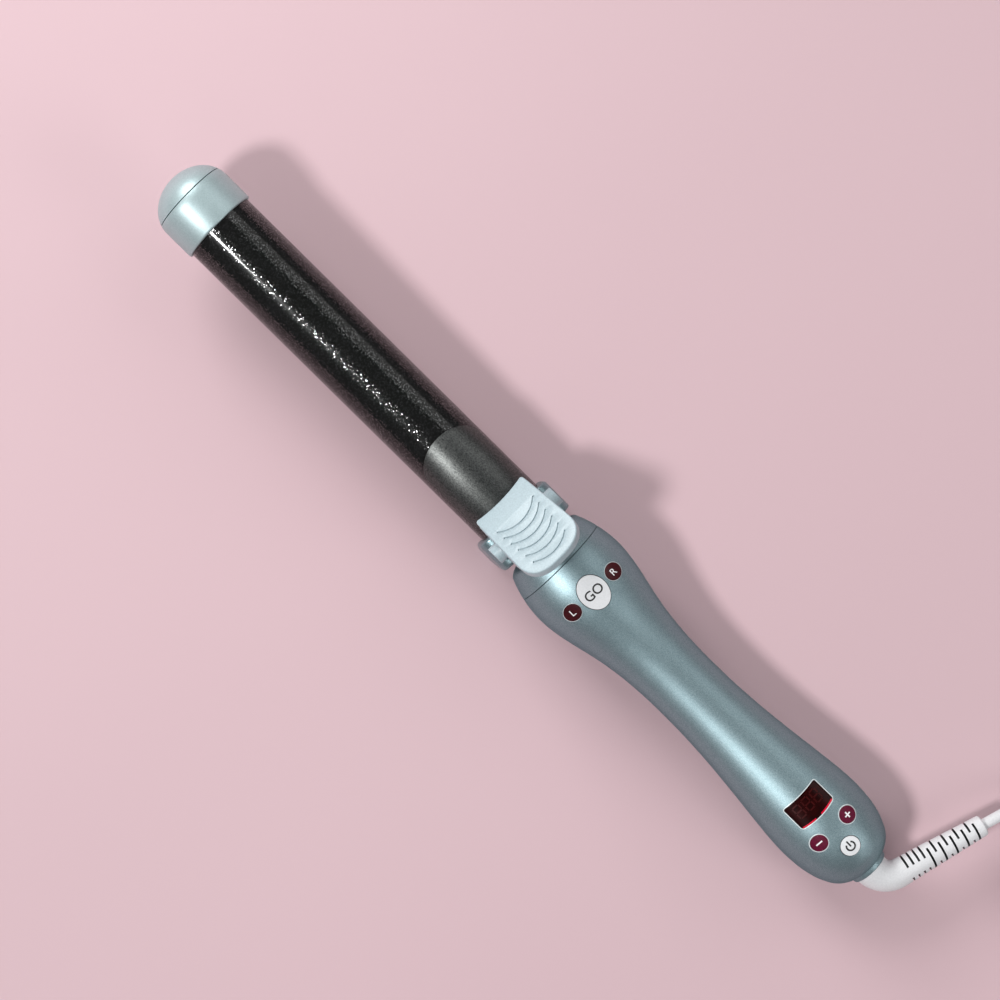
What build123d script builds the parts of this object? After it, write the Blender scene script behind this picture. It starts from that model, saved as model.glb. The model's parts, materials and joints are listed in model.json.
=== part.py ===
from build123d import *
import os
from math import cos, pi, radians, sin, tan

# Rotating curling iron, lying on a table as it is laid down in use. Millimetres.
# X runs along the iron from the cool tip to the cord, Y to its right-hand side, Z up from the table.
# Stations are measured along the iron's own axis from the point of the cool tip.

# Driving sizes of the barrel and its tip
lie_angle = 3.0
barrel_diameter = 31.75
barrel_wall = 1.0
barrel_exposed = 166.0
tip_length = 27.5
tip_dome_length = 14.0
tip_radius = 17.1
tip_rim_chamfer = 0.8
tip_seam = 10.45
tip_seam_gap = 0.3
tip_wall = 2.0
fit_gap = 0.05
run_gap = 0.3

# Driving sizes of the heater inside the barrel
heater_inset = 12.0
heater_length = 120.0
strip_width = 13.0
strip_height = 2.6
spreader_wall = 1.8
barrier_length = 4.0

# Driving sizes of the clamp, its lever and the hinge
spoon_length = 35.0
spoon_wall = 0.8
spoon_half_width = 14.4
spoon_nose_length = 10.0
strap_half_width = 7.0
lever_reach = 15.0
lever_length = 40.6
lever_slope = 38.5
lever_front_width = 26.6
lever_rear_width = 28.8
lever_end_round = 10.0
lever_plate = 4.0
lever_skin = 2.2
lever_hollow = 1.6
lever_crown = 1.0
lever_lift = 1.2
skirt_wall = 2.4
skirt_low = 9.0
skirt_length = 17.5
skirt_angle = 50.0
groove_count = 6
groove_first = 16.2
groove_pitch = 4.2
groove_radius = 0.9
groove_depth = 0.5
groove_bow = 14.0
groove_half_angle = 52.0
pin_radius = 1.5
pin_height = 18.3
pin_from_hub_front = 7.0
knuckle_radius = 4.0
knuckle_span = 35.0
spring_radius = 2.2
spring_wire = 0.7
spring_turns = 5
spring_top = 28.2
spring_behind_pin = 5.2
spring_boss = 3.3
rivet_radius = 1.2
rivet_first = 3.2
rivet_pitch = 4.4
rivet_head = 1.6

# Driving sizes of the hub and its stand feet
hub_length = 15.0
hub_half_width = 18.9
hub_shoulder = 13.4
hub_shoulder_round = 6.0
hub_back_wall = 3.2
hub_skirt = 2.6
foot_width = 8.0
foot_taper = 2.5
foot_arch = 2.4
hub_edge_round = 1.4
lug_floor = 0.9
lug_gap = 4.2
lug_width = 3.6
neck_gap = 2.0
neck_radius = 11.5
hub_screw_circle = 8.4
hub_screw_radius = 1.2
hub_screw_grip = 3.0
hub_screw_head = 1.4

# Driving sizes of the handle: the front is placed from its nose and the rear back from its end
handle_length = 191.3
nose_length = 12.0
nose_bore_radius = 12.0
nose_lip_length = 2.9
nose_lip_radius = 18.35
nose_face_radius = 13.6
nose_seam_radius = 21.35
bulge_station = 24.4
bulge_radius = 22.7
shoulder_station = 41.0
shoulder_radius = 20.15
neck_in_station = 57.5
neck_in_radius = 16.8
waist_share = 0.4705
waist_radius = 15.0
flare_back = 63.8
flare_radius = 17.45
rise_back = 44.3
rise_radius = 19.7
tail_back = 25.8
tail_radius = 20.85
tail_turn_back = 8.3
tail_turn_radius = 17.3
tail_end_radius = 8.8
shell_wall = 2.2
seam_gap = 0.3
spigot_wall = 1.7
rib_width = 2.4
post_radius = 2.7
screw_radius = 1.1
screw_head_radius = 2.1
screw_head_height = 1.8
screw_depth = 8.5

# Driving sizes of the controls, placed from the handle's nose or back from its end
front_controls = 28.3
go_length = 15.3
go_width = 12.5
side_button_diameter = 7.2
side_button_offset = 11.7
window_back = 39.0
window_length = 11.4
window_width = 17.9
window_corner = 1.2
sign_button_diameter = 7.1
sign_button_offset = 8.2
sign_button_back = 25.1
power_diameter = 8.3
power_back = 15.2
button_gap = 0.15
button_proud = 0.5
button_travel = 0.6
button_lip = 0.7
lip_thickness = 0.8
stem_radius = 1.2
switch_height = 2.8
switch_body = 1.6
switch_size = 4.0
board_thickness = 1.2
board_height = 9.3
front_board_half_width = 14.4
rear_board_half_width = 11.2
display_height = 3.6
power_height = -2.4
power_board_half_width = 8.5
transformer_half_width = 6.5
heat_sink_half_width = 5.0
capacitor_radius = 3.2
capacitor_offset = 3.6

# Driving sizes of the drive inside the nose
gear_module = 0.65
driven_teeth = 24
pinion_teeth = 12
gear_width = 4.2
backlash = 0.16
journal_radius = 8.0
bearing_wall = 2.5
bearing_length = 5.0
shaft_radius = 4.4
shaft_bore = 2.6
shaft_end_radius = 3.8
ring_radius = 6.4
ring_depth = 1.0
ring_width = 1.8
ring_pitch = 3.4
ring_count = 4
brush_width = 1.2
brush_gap = 0.1
motor_width = 12.0
motor_depth = 10.0
motor_length = 24.0
motor_pilot_radius = 2.9
motor_shaft_radius = 1.5
plate_thickness = 1.8

# Driving sizes of the swivel, the strain relief and the lead
swivel_radius = 8.6
swivel_bore = 5.6
swivel_proud = 2.2
swivel_flange = 1.6
swivel_flange_length = 2.5
swivel_rim_round = 0.8
root_radius = 7.5
bend_end_radius = 6.1
relief_tip_radius = 4.5
relief_bend = 10.0
relief_turn = 74.0
relief_straight = 40.0
slot_count = 13
slot_first = 2.4
slot_pitch = 2.8
slot_width = 0.8
slot_depth = 2.0
cord_diameter = 4.8
coil_turns_across = 3
coil_layers = 4
coil_mean_radius = 28.8
coil_centre = (282.4, 68.9)
coil_entry = 122.0
plug_width = 25.0
plug_height = 17.0
plug_length = 24.0
plug_front = (318.0, -2.0, 8.6)
plug_relief_length = 18.0
plug_relief_width = 11.0
blade_length = 17.0
blade_height = 6.35
blade_thickness = 1.5
blade_spacing = 12.7

# Stations that follow from the sizes above
barrel_radius = barrel_diameter / 2
hub_front = tip_length + barrel_exposed
hub_rear = hub_front + hub_length
nose_front = hub_rear + neck_gap
seam = nose_front + nose_length
handle_end = nose_front + handle_length
waist_at = nose_front + waist_share * handle_length
far_end = handle_end + swivel_proud
pin_station = hub_front + pin_from_hub_front
barrel_end = hub_rear - hub_back_wall - run_gap
spoon_radius = barrel_radius + run_gap
spoon_outer = spoon_radius + spoon_wall
lug_outer = lug_gap + lug_width

# The iron lies with its tail bulge and its stand feet on the table at Z = 0
lie = radians(lie_angle)
along = Vector(cos(lie), 0, -sin(lie))
upward = Vector(sin(lie), 0, cos(lie))
tip_z = (handle_end - tail_back) * sin(lie) + tail_radius * cos(lie)
tip_x = -(far_end * cos(lie) + swivel_radius * sin(lie)) / 2
tip_point = Vector(tip_x, 0, tip_z)
iron_axis = Axis(tip_point, along)
side = Plane(origin=tip_point, x_dir=along, z_dir=(0, -1, 0))
os.makedirs("parts", exist_ok=True)


def station(distance):
    """Plane across the iron: X to its right side, Y up."""
    return Plane(origin=tip_point + along * distance, x_dir=(0, 1, 0), z_dir=along)


def level(height):
    """Plane along the iron at a height over its axis: X along it, Y to its right side."""
    return Plane(origin=tip_point + upward * height, x_dir=along, z_dir=upward)


def tube(first, last, outer, inner=0.0):
    """Round disc or ring on the iron's axis between two stations."""
    with BuildPart() as ring:
        with BuildSketch(station(first)):
            Circle(outer)
            if inner:
                Circle(inner, mode=Mode.SUBTRACT)
        extrude(amount=last - first)
    return ring.part


def block(first, last, right, low, high, left=None):
    """Box between two stations, two sides and two heights over the axis."""
    left = -right if left is None else left
    with BuildPart() as box:
        with BuildSketch(station(first)):
            with Locations(((left + right) / 2, (low + high) / 2)):
                Rectangle(abs(right - left), high - low)
        extrude(amount=last - first)
    return box.part


def stud(distance, offset, radius, low, high):
    """Upright round post at a station and a distance to the right of the axis."""
    with BuildPart() as post:
        with BuildSketch(level(low)):
            with Locations((distance, offset)):
                Circle(radius)
        extrude(amount=high - low)
    return post.part


def cross_rod(distance, height, radius, half_span):
    """Round rod across the iron, centred on its middle."""
    with BuildPart() as rod:
        with BuildSketch(side):
            with Locations((distance, height)):
                Circle(radius)
        extrude(amount=half_span, both=True)
    return rod.part


def handle_form(inset):
    """The handle's outer form, or the form that lies inside it by the inset."""
    front = nose_front + nose_lip_length
    end = handle_end - 0.7 * inset
    neck_slope = (1, -0.16)
    with BuildPart() as form:
        with BuildSketch(side):
            with BuildLine():
                nose = Spline(
                    (front, nose_lip_radius - inset),
                    (seam, nose_seam_radius - inset),
                    (nose_front + bulge_station, bulge_radius - inset),
                    (nose_front + shoulder_station, shoulder_radius - inset),
                    (nose_front + neck_in_station, neck_in_radius - inset),
                    tangents=[(1, 0.45), neck_slope],
                )
                body = Spline(
                    nose @ 1,
                    (waist_at, waist_radius - inset),
                    (handle_end - flare_back, flare_radius - inset),
                    (handle_end - rise_back, rise_radius - inset),
                    (handle_end - tail_back, tail_radius - inset),
                    tangents=[neck_slope, (cos(lie), -sin(lie))],
                )
                tail = Spline(
                    body @ 1,
                    (handle_end - tail_turn_back, tail_turn_radius - 0.9 * inset),
                    (end, tail_end_radius),
                    tangents=[(cos(lie), -sin(lie)), (0.32, -1)],
                )
                Polyline(tail @ 1, (end, 0), (front, 0), nose @ 0)
            make_face()
        revolve(axis=iron_axis)
    return form.part


def finish(piece, name):
    """Name a finished piece and write it out."""
    piece.part.label = name
    export_step(piece.part, "parts/" + name + ".step")
    return piece.part


outer_form = handle_form(0)
inner_form = handle_form(shell_wall)
proud_form = handle_form(-button_proud)
lip_form = handle_form(shell_wall + 0.2)
lip_inner_form = handle_form(shell_wall + 0.2 + lip_thickness)

# Cool tip: a dome and a band that meet at a fine groove, over the barrel's front end
with BuildPart() as tip_form:
    with BuildSketch(side):
        with BuildLine():
            dome = EllipticalCenterArc(
                (tip_dome_length, 0), tip_dome_length, tip_radius, start_angle=178, arc_size=-88
            )
            Polyline(
                dome @ 1,
                (tip_length - tip_rim_chamfer, tip_radius),
                (tip_length, tip_radius - tip_rim_chamfer),
                (tip_length, 0),
                ((dome @ 0).X, 0),
                dome @ 0,
            )
        make_face()
    revolve(axis=iron_axis)

barrel_start = tip_dome_length
plug_radius = barrel_radius - tip_wall
with BuildPart() as cool_tip_dome:
    add(tube(-1, tip_seam - tip_seam_gap / 2, 2 * tip_radius))
    add(tip_form.part, mode=Mode.INTERSECT)
    add(tube(tip_seam - 1, barrel_start, plug_radius))
    add(tube(tip_seam - 5.0, tip_length, plug_radius - tip_wall), mode=Mode.SUBTRACT)
finish(cool_tip_dome, "cool_tip_dome")

with BuildPart() as cool_tip_band:
    add(tip_form.part)
    split(bisect_by=station(tip_seam + tip_seam_gap / 2), keep=Keep.TOP)
    add(tube(tip_seam, barrel_start, plug_radius + fit_gap), mode=Mode.SUBTRACT)
    add(tube(barrel_start, tip_length, barrel_radius), mode=Mode.SUBTRACT)
finish(cool_tip_band, "cool_tip_band")

# Barrel: a straight tube from inside the cool tip to the hub's back wall
with BuildPart() as barrel_tube:
    add(tube(barrel_start, barrel_end, barrel_radius, barrel_radius - barrel_wall))
finish(barrel_tube, "barrel_tube")

# Heater: a ceramic strip pressed between two ribbed aluminium half shells
heater_start = tip_length + heater_inset
spreader_radius = barrel_radius - barrel_wall - fit_gap
pocket_height = (spreader_radius - strip_height / 2 - 2 * spreader_wall) * 0.82
with BuildPart() as heat_spreaders:
    with BuildSketch(station(heater_start)):
        Circle(spreader_radius)
        Rectangle(2 * spreader_radius + 2, strip_height, mode=Mode.SUBTRACT)
        pocket_middle = strip_height / 2 + spreader_wall + pocket_height / 2
        with Locations((0, pocket_middle), (0, -pocket_middle)):
            SlotOverall(spreader_radius * 1.3, pocket_height, mode=Mode.SUBTRACT)
    extrude(amount=heater_length)
finish(heat_spreaders, "heat_spreaders")

with BuildPart() as heater_strip:
    with BuildSketch(station(heater_start + heater_inset)):
        RectangleRounded(strip_width, strip_height, strip_height / 5)
    extrude(amount=heater_length - 2 * heater_inset)
finish(heater_strip, "heater_strip")

with BuildPart() as temperature_sensor:
    with BuildSketch(station(heater_start + 2 * heater_inset)):
        with Locations(((strip_width + 3 * strip_height) / 2, 0)):
            Circle(strip_height / 2)
    extrude(amount=heater_inset)
finish(temperature_sensor, "temperature_sensor")

with BuildPart() as heat_barrier:
    add(tube(barrel_end - 2 * barrier_length, barrel_end - barrier_length, spreader_radius, shaft_bore))
finish(heat_barrier, "heat_barrier")

# Hub: the saddle behind the barrel, with two lugs for the lever's pin and two stand feet
foot_depth = (tip_z - hub_front * sin(lie)) / cos(lie) + foot_taper
lug_front = pin_station - knuckle_radius
hub_top = spoon_radius + lug_floor
under_saddle = -(barrel_radius + hub_skirt)
with BuildPart() as hub_bracket:
    with BuildSketch(station(hub_front)):
        with BuildLine():
            top = Line((0, hub_shoulder), (hub_half_width - hub_shoulder_round, hub_shoulder))
            RadiusArc(
                top @ 1, (hub_half_width, hub_shoulder - hub_shoulder_round), hub_shoulder_round
            )
            Polyline(
                (hub_half_width, hub_shoulder - hub_shoulder_round),
                (hub_half_width, -foot_depth),
                (hub_half_width - foot_width, -foot_depth),
            )
            SagittaArc((hub_half_width - foot_width, -foot_depth), (0, under_saddle), foot_arch)
            mirror(about=Plane.YZ)
        make_face()
    extrude(amount=hub_length)
    with BuildSketch(side):
        with BuildLine():
            Polyline(
                (hub_front, barrel_radius),
                (hub_rear, barrel_radius),
                (hub_rear, -barrel_radius * 0.7),
                (hub_rear - foot_taper, -foot_depth),
                (hub_front + foot_taper, -foot_depth),
                (hub_front, -barrel_radius * 0.7),
                close=True,
            )
        make_face()
    extrude(amount=hub_half_width, both=True, mode=Mode.INTERSECT)
    corner_edges = hub_bracket.edges().filter_by(
        lambda edge: abs(abs(edge.center().Y) - hub_half_width) < 0.01 and edge.length > 8
    )
    fillet(corner_edges, radius=hub_edge_round)
    # the pin block between the saddle's shoulders, cut down to a floor between its two lugs
    add(block(lug_front, hub_rear, lug_outer, hub_shoulder - 1, hub_top))
    add(cross_rod(pin_station, pin_height, knuckle_radius, lug_outer))
    add(block(lug_front, pin_station + knuckle_radius, lug_outer, hub_shoulder - 1, pin_height))
    add(block(lug_front - 1, hub_rear, lug_gap, hub_top, pin_height + 5), mode=Mode.SUBTRACT)
    add(tube(hub_front - 1, barrel_end + run_gap, barrel_radius + fit_gap), mode=Mode.SUBTRACT)
    add(tube(barrel_end, hub_rear + 1, shaft_radius + fit_gap), mode=Mode.SUBTRACT)
    with BuildSketch(station(barrel_end)):
        with PolarLocations(hub_screw_circle, 3, start_angle=90):
            Circle(hub_screw_radius)
    extrude(amount=hub_back_wall + 1, mode=Mode.SUBTRACT)
    add(cross_rod(pin_station, pin_height, pin_radius, lug_outer + 1), mode=Mode.SUBTRACT)
    split(bisect_by=Plane.XY, keep=Keep.TOP)
finish(hub_bracket, "hub_bracket")

with BuildPart() as hinge_pin:
    add(cross_rod(pin_station, pin_height, pin_radius - 0.01, knuckle_span / 2))
finish(hinge_pin, "hinge_pin")

# Clamp: a thin spoon over the barrel, narrowing to a strap that is riveted under the lever
lever_front = pin_station - lever_reach
spoon_front = lever_front - spoon_length
strap_end = lug_front - 0.8
rivets = (lever_front + rivet_first, lever_front + rivet_first + rivet_pitch)
with BuildPart() as clamp_spoon:
    add(tube(spoon_front, strap_end, spoon_outer, spoon_radius))
    with BuildSketch(level(0)):
        with BuildLine():
            nose = EllipticalCenterArc(
                (spoon_front + spoon_nose_length, 0),
                spoon_nose_length,
                spoon_half_width,
                start_angle=90,
                arc_size=90,
            )
            flank = Line(nose @ 0, (lever_front + 1.5, spoon_half_width))
            strap = Line((strap_end - 2.5, strap_half_width), (strap_end, strap_half_width))
            Spline(flank @ 1, strap @ 0, tangents=[(1, 0), (1, 0)])
            Line(strap @ 1, (strap_end, 0))
            mirror(about=Plane.XZ)
        make_face()
    extrude(amount=spoon_outer + 1, mode=Mode.INTERSECT)
    for rivet in rivets:
        add(stud(rivet, 0, rivet_radius, 0, spoon_outer + 1), mode=Mode.SUBTRACT)
finish(clamp_spoon, "clamp_spoon")

with BuildPart() as clamp_rivets:
    for rivet in rivets:
        add(stud(rivet, 0, rivet_radius, spoon_radius, spoon_outer + rivet_head))
finish(clamp_rivets, "clamp_rivets")

# Lever: a sloped, grooved thumb plate with side skirts and two knuckles on the pin
slope = radians(lever_slope)
lever_base = spoon_outer + lever_lift
run_up = Vector(cos(slope), sin(slope))
plate_down = Vector(sin(slope), -cos(slope))
front_top = Vector(lever_front, lever_base)
rear_top = front_top + run_up * (lever_length - lever_crown)
rear_low = rear_top + plate_down * lever_plate
clear = radians(skirt_angle)
knuckle_exit = Vector(pin_station + knuckle_radius * sin(clear), pin_height - knuckle_radius * cos(clear))
skirt_top = knuckle_exit + Vector(cos(clear), sin(clear)) * skirt_length


def lever_plan(spare):
    """Plan outline of the lever: a slightly hollow front, flaring flanks and a rounded end."""
    front_half = lever_front_width / 2 + spare
    rear_half = lever_rear_width / 2 + spare
    end = rear_low.X + spare
    turn = end - lever_end_round
    with BuildSketch(level(0)) as plan:
        with BuildLine():
            ThreePointArc(
                (lever_front - lever_hollow, -front_half), (lever_front, 0), (lever_front - lever_hollow, front_half)
            )
            Line((lever_front - lever_hollow, front_half), (turn, rear_half))
            Spline(
                (turn, rear_half),
                (end, 0),
                (turn, -rear_half),
                tangents=[(1, 0.02), (-1, 0.02)],
                tangent_scalars=[1.25, 1.25],
            )
            Line((turn, -rear_half), (lever_front - lever_hollow, -front_half))
        make_face()
    return plan.sketch


skirt_half = lever_front_width / 2 - skirt_wall
with BuildPart() as clamp_lever:
    with BuildSketch(side):
        with BuildLine():
            Line((lever_front - lever_hollow, skirt_low), (lever_front - lever_hollow, lever_base - 0.5))
            top = SagittaArc(
                (lever_front - lever_hollow, lever_base - 0.5), (rear_top.X, rear_top.Y), -lever_crown
            )
            Polyline(
                top @ 1,
                (rear_low.X, rear_low.Y),
                (skirt_top.X, skirt_top.Y),
                (knuckle_exit.X, knuckle_exit.Y),
                (pin_station, pin_height - knuckle_radius),
                (hub_front - 0.8, pin_height - knuckle_radius),
                (hub_front - 0.8, skirt_low),
                (lever_front - lever_hollow, skirt_low),
            )
        make_face()
    extrude(amount=lever_rear_width, both=True)
    extrude(lever_plan(0), amount=60, mode=Mode.INTERSECT)
    # open space under the plate for the lugs and the spring, with skirts left at both sides
    with BuildSketch(side):
        with BuildLine():
            roof = front_top + plate_down * lever_skin
            Polyline(
                (strap_end + 0.3, 0),
                (strap_end + 0.3, roof.Y + (strap_end + 0.3 - roof.X) * tan(slope)),
                (rear_top.X - 1.0, roof.Y + (rear_top.X - 1.0 - roof.X) * tan(slope)),
                (rear_top.X + 12.0, 0),
                close=True,
            )
        make_face()
    extrude(amount=skirt_half, both=True, mode=Mode.SUBTRACT)
    for way in (1, -1):
        with BuildSketch(side.offset(way * (lug_outer + run_gap))):
            with Locations((pin_station, pin_height)):
                Circle(knuckle_radius)
        extrude(amount=way * (knuckle_span / 2 - lug_outer - run_gap))
    add(stud(pin_station + spring_behind_pin, 0, spring_radius + spring_wire, spring_top, spring_top + spring_boss))
    add(tube(spoon_front, strap_end + 0.3, spoon_outer), mode=Mode.SUBTRACT)
    for index in range(groove_count):
        share = (groove_first + index * groove_pitch) / top.length
        spot = top @ share
        rise = top % share
        down_plate = along * rise.X + upward * rise.Y
        off_plate = upward * rise.X - along * rise.Y
        crest = tip_point + along * spot.X + upward * spot.Y + off_plate * (groove_radius - groove_depth)
        with BuildLine(Plane(origin=crest, x_dir=down_plate, z_dir=off_plate)):
            bow = CenterArc((-groove_bow, 0), groove_bow, -groove_half_angle, 2 * groove_half_angle)
        with BuildSketch(Plane(origin=bow @ 0, z_dir=bow % 0)):
            Circle(groove_radius)
        sweep(path=bow, mode=Mode.SUBTRACT)
    add(cross_rod(pin_station, pin_height, pin_radius + fit_gap, knuckle_span), mode=Mode.SUBTRACT)
    for rivet in rivets:
        add(stud(rivet, 0, rivet_radius, 0, spoon_outer + rivet_head), mode=Mode.SUBTRACT)
finish(clamp_lever, "clamp_lever")

spring_height = spring_top - hub_top - spring_wire - 0.2
with BuildPart() as clamp_spring:
    with BuildLine(level(hub_top + spring_wire / 2)):
        coil = Helix(
            pitch=spring_height / spring_turns,
            height=spring_height,
            radius=spring_radius,
            center=(pin_station + spring_behind_pin, 0, 0),
            direction=upward,
        )
    with BuildSketch(Plane(origin=coil @ 0, z_dir=coil % 0)):
        Circle(spring_wire / 2)
    sweep(path=coil, is_frenet=True)
finish(clamp_spring, "clamp_spring")

# Spindle: carries the hub, runs in two bearings and holds the gear and the slip rings
bearing_front = nose_front + nose_lip_length + 0.3
gear_front = bearing_front + bearing_length + 1.0
plate_front = seam + 4.0
motor_front = plate_front + plate_thickness
rear_rib = motor_front + motor_length + 0.7
drum_front = motor_front + 1.2
drum_length = ring_count * ring_pitch + 1.0
with BuildPart() as spindle:
    add(tube(hub_rear, bearing_front - 0.2, neck_radius))
    add(tube(hub_rear - hub_back_wall, hub_rear, shaft_radius))
    add(tube(bearing_front - 0.2, gear_front, journal_radius))
    add(tube(gear_front, rear_rib - 0.3, shaft_radius))
    add(tube(rear_rib - 0.3, rear_rib + rib_width + 0.6, shaft_end_radius))
    add(tube(barrel_end, rear_rib + 10, shaft_bore), mode=Mode.SUBTRACT)
    with BuildSketch(station(hub_rear)):
        with PolarLocations(hub_screw_circle, 3, start_angle=90):
            Circle(hub_screw_radius)
    extrude(amount=hub_screw_grip + 0.4, mode=Mode.SUBTRACT)
finish(spindle, "spindle")

with BuildPart() as hub_screws:
    with BuildSketch(station(barrel_end + run_gap)):
        with PolarLocations(hub_screw_circle, 3, start_angle=90):
            Circle(hub_screw_radius)
    extrude(amount=hub_back_wall + hub_screw_grip)
    with BuildSketch(station(barrel_end + run_gap)):
        with PolarLocations(hub_screw_circle, 3, start_angle=90):
            Circle(hub_screw_radius * 1.8)
    extrude(amount=-hub_screw_head)
finish(hub_screws, "hub_screws")

with BuildPart() as front_bearing:
    add(tube(bearing_front, bearing_front + bearing_length, journal_radius + bearing_wall,
             journal_radius + fit_gap))
finish(front_bearing, "front_bearing")

with BuildPart() as rear_bearing:
    add(tube(rear_rib, rear_rib + rib_width, shaft_end_radius + bearing_wall,
             shaft_end_radius + fit_gap))
finish(rear_bearing, "rear_bearing")


# Gears: straight spur teeth with arc flanks, in mesh below the spindle
def spur_gear(teeth, bore, centre_height, first_tooth):
    """Spur gear across the iron at the gear station."""
    pitch_radius = gear_module * teeth / 2
    root_radius = pitch_radius - 1.2 * gear_module
    crest_radius = pitch_radius + 0.95 * gear_module
    half_pitch = (pi * gear_module / 2 - backlash) / 2
    root_half = half_pitch * 1.42
    crest_half = half_pitch * 0.42
    with BuildSketch() as tooth:
        with BuildLine():
            left = ThreePointArc(
                (root_radius - 0.1, root_half), (pitch_radius, half_pitch), (crest_radius, crest_half)
            )
            crest = Line(left @ 1, (crest_radius, -crest_half))
            right = ThreePointArc(
                crest @ 1, (pitch_radius, -half_pitch), (root_radius - 0.1, -root_half)
            )
            Line(right @ 1, left @ 0)
        make_face()
    with BuildPart() as gear:
        with BuildSketch(station(gear_front)):
            with Locations((0, centre_height)):
                Circle(root_radius)
                with PolarLocations(0, teeth, start_angle=first_tooth):
                    add(tooth.sketch)
                Circle(bore, mode=Mode.SUBTRACT)
        extrude(amount=gear_width)
    return gear


gear_centres = gear_module * (driven_teeth + pinion_teeth) / 2
driven_gear = spur_gear(driven_teeth, shaft_radius, 0, -90)
finish(driven_gear, "driven_gear")
pinion = spur_gear(pinion_teeth, motor_shaft_radius, -gear_centres, 90 + 180 / pinion_teeth)
finish(pinion, "pinion")

with BuildPart() as motor_shaft:
    with BuildSketch(station(gear_front - 0.2)):
        with Locations((0, -gear_centres)):
            Circle(motor_shaft_radius)
    extrude(amount=motor_front + 3.0 - gear_front)
finish(motor_shaft, "motor_shaft")

with BuildPart() as gear_motor:
    with BuildSketch(station(motor_front)):
        with Locations((0, -gear_centres)):
            RectangleRounded(motor_width, motor_depth, 1.0)
    extrude(amount=motor_length * 0.4)
    with BuildSketch(station(motor_front)):
        with Locations((0, -gear_centres)):
            Circle(motor_width / 2)
            Rectangle(motor_width, motor_depth, mode=Mode.INTERSECT)
    extrude(amount=motor_length)
    with BuildSketch(station(plate_front + 0.1)):
        with Locations((0, -gear_centres)):
            Circle(motor_pilot_radius)
    extrude(amount=plate_thickness)
    with BuildSketch(station(plate_front)):
        with Locations((0, -gear_centres)):
            Circle(motor_shaft_radius + fit_gap)
    extrude(amount=plate_thickness + 4.0, mode=Mode.SUBTRACT)
finish(gear_motor, "gear_motor")

with BuildPart() as slip_ring_drum:
    add(tube(drum_front, drum_front + drum_length, ring_radius - ring_depth, shaft_radius))
    for index in range(ring_count + 1):
        fin = drum_front + index * ring_pitch
        add(tube(fin, fin + ring_depth, ring_radius - 0.3, shaft_radius))
finish(slip_ring_drum, "slip_ring_drum")

with BuildPart() as slip_rings:
    for index in range(ring_count):
        ring = drum_front + ring_depth + 0.3 + index * ring_pitch
        add(tube(ring, ring + ring_width, ring_radius, ring_radius - ring_depth))
finish(slip_rings, "slip_rings")

brush_back = ring_radius + 2.6
with BuildPart() as brush_block:
    add(block(motor_front, drum_front + drum_length + 1, brush_back + 3.4, -3.5, 3.5, brush_back))
finish(brush_block, "brush_block")

with BuildPart() as brushes:
    for index in range(ring_count):
        middle = drum_front + ring_depth + 0.3 + index * ring_pitch + ring_width / 2
        add(block(middle - brush_width / 2, middle + brush_width / 2, brush_back, -1.0, 1.0,
                  ring_radius + brush_gap))
finish(brushes, "brushes")

# Nose ring: the handle's front, with the bearing seat and a spigot that enters the shells
spigot_radius = nose_seam_radius - shell_wall - 0.1
with BuildPart() as nose_ring:
    add(outer_form)
    split(bisect_by=station(seam - seam_gap / 2), keep=Keep.BOTTOM)
    with BuildSketch(side):
        with BuildLine():
            face = Line((nose_front, 0), (nose_front, nose_face_radius))
            lip = SagittaArc(face @ 1, (nose_front + nose_lip_length, nose_lip_radius), 0.7)
            Polyline(lip @ 1, (nose_front + nose_lip_length, 0), face @ 0)
        make_face()
    revolve(axis=iron_axis)
    add(tube(seam - 2, plate_front, spigot_radius))
    add(tube(nose_front - 1, bearing_front, nose_bore_radius), mode=Mode.SUBTRACT)
    add(tube(bearing_front, gear_front - 0.4, journal_radius + bearing_wall), mode=Mode.SUBTRACT)
    add(tube(gear_front - 0.4, plate_front, spigot_radius - spigot_wall), mode=Mode.SUBTRACT)
finish(nose_ring, "nose_ring")

with BuildPart() as motor_plate:
    add(tube(plate_front, motor_front, spigot_radius, shaft_radius + 0.5))
    with BuildSketch(station(plate_front)):
        with Locations((0, -gear_centres)):
            Circle(motor_pilot_radius + fit_gap)
    extrude(amount=plate_thickness, mode=Mode.SUBTRACT)
finish(motor_plate, "motor_plate")

# Handle shells: an upper and a lower half with ribs, screw posts and openings for the controls
front_at = nose_front + front_controls
window_at = handle_end - window_back
sign_at = handle_end - sign_button_back
power_at = handle_end - power_back
swivel_rib = handle_end - 8.4
flange_front = swivel_rib + rib_width + 0.2
board_rear_end = swivel_rib - 1.8
window_rib = window_at - window_length / 2 - 4.0
neck_post = rear_rib + rib_width + 6.5
waist_post = window_rib - 8.0
tail_post = window_at + window_length / 2 + 3.6
tail_post_offset = rear_board_half_width + post_radius + 0.4
post_places = (
    (neck_post, 0),
    (waist_post, 0),
    (tail_post, tail_post_offset),
    (tail_post, -tail_post_offset),
)
power_board_start = neck_post + 10.0
power_board_length = waist_post - 13.0 - power_board_start
waist_ribs = (power_board_start + 4.0, power_board_start + power_board_length - rib_width - 4.0)


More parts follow.
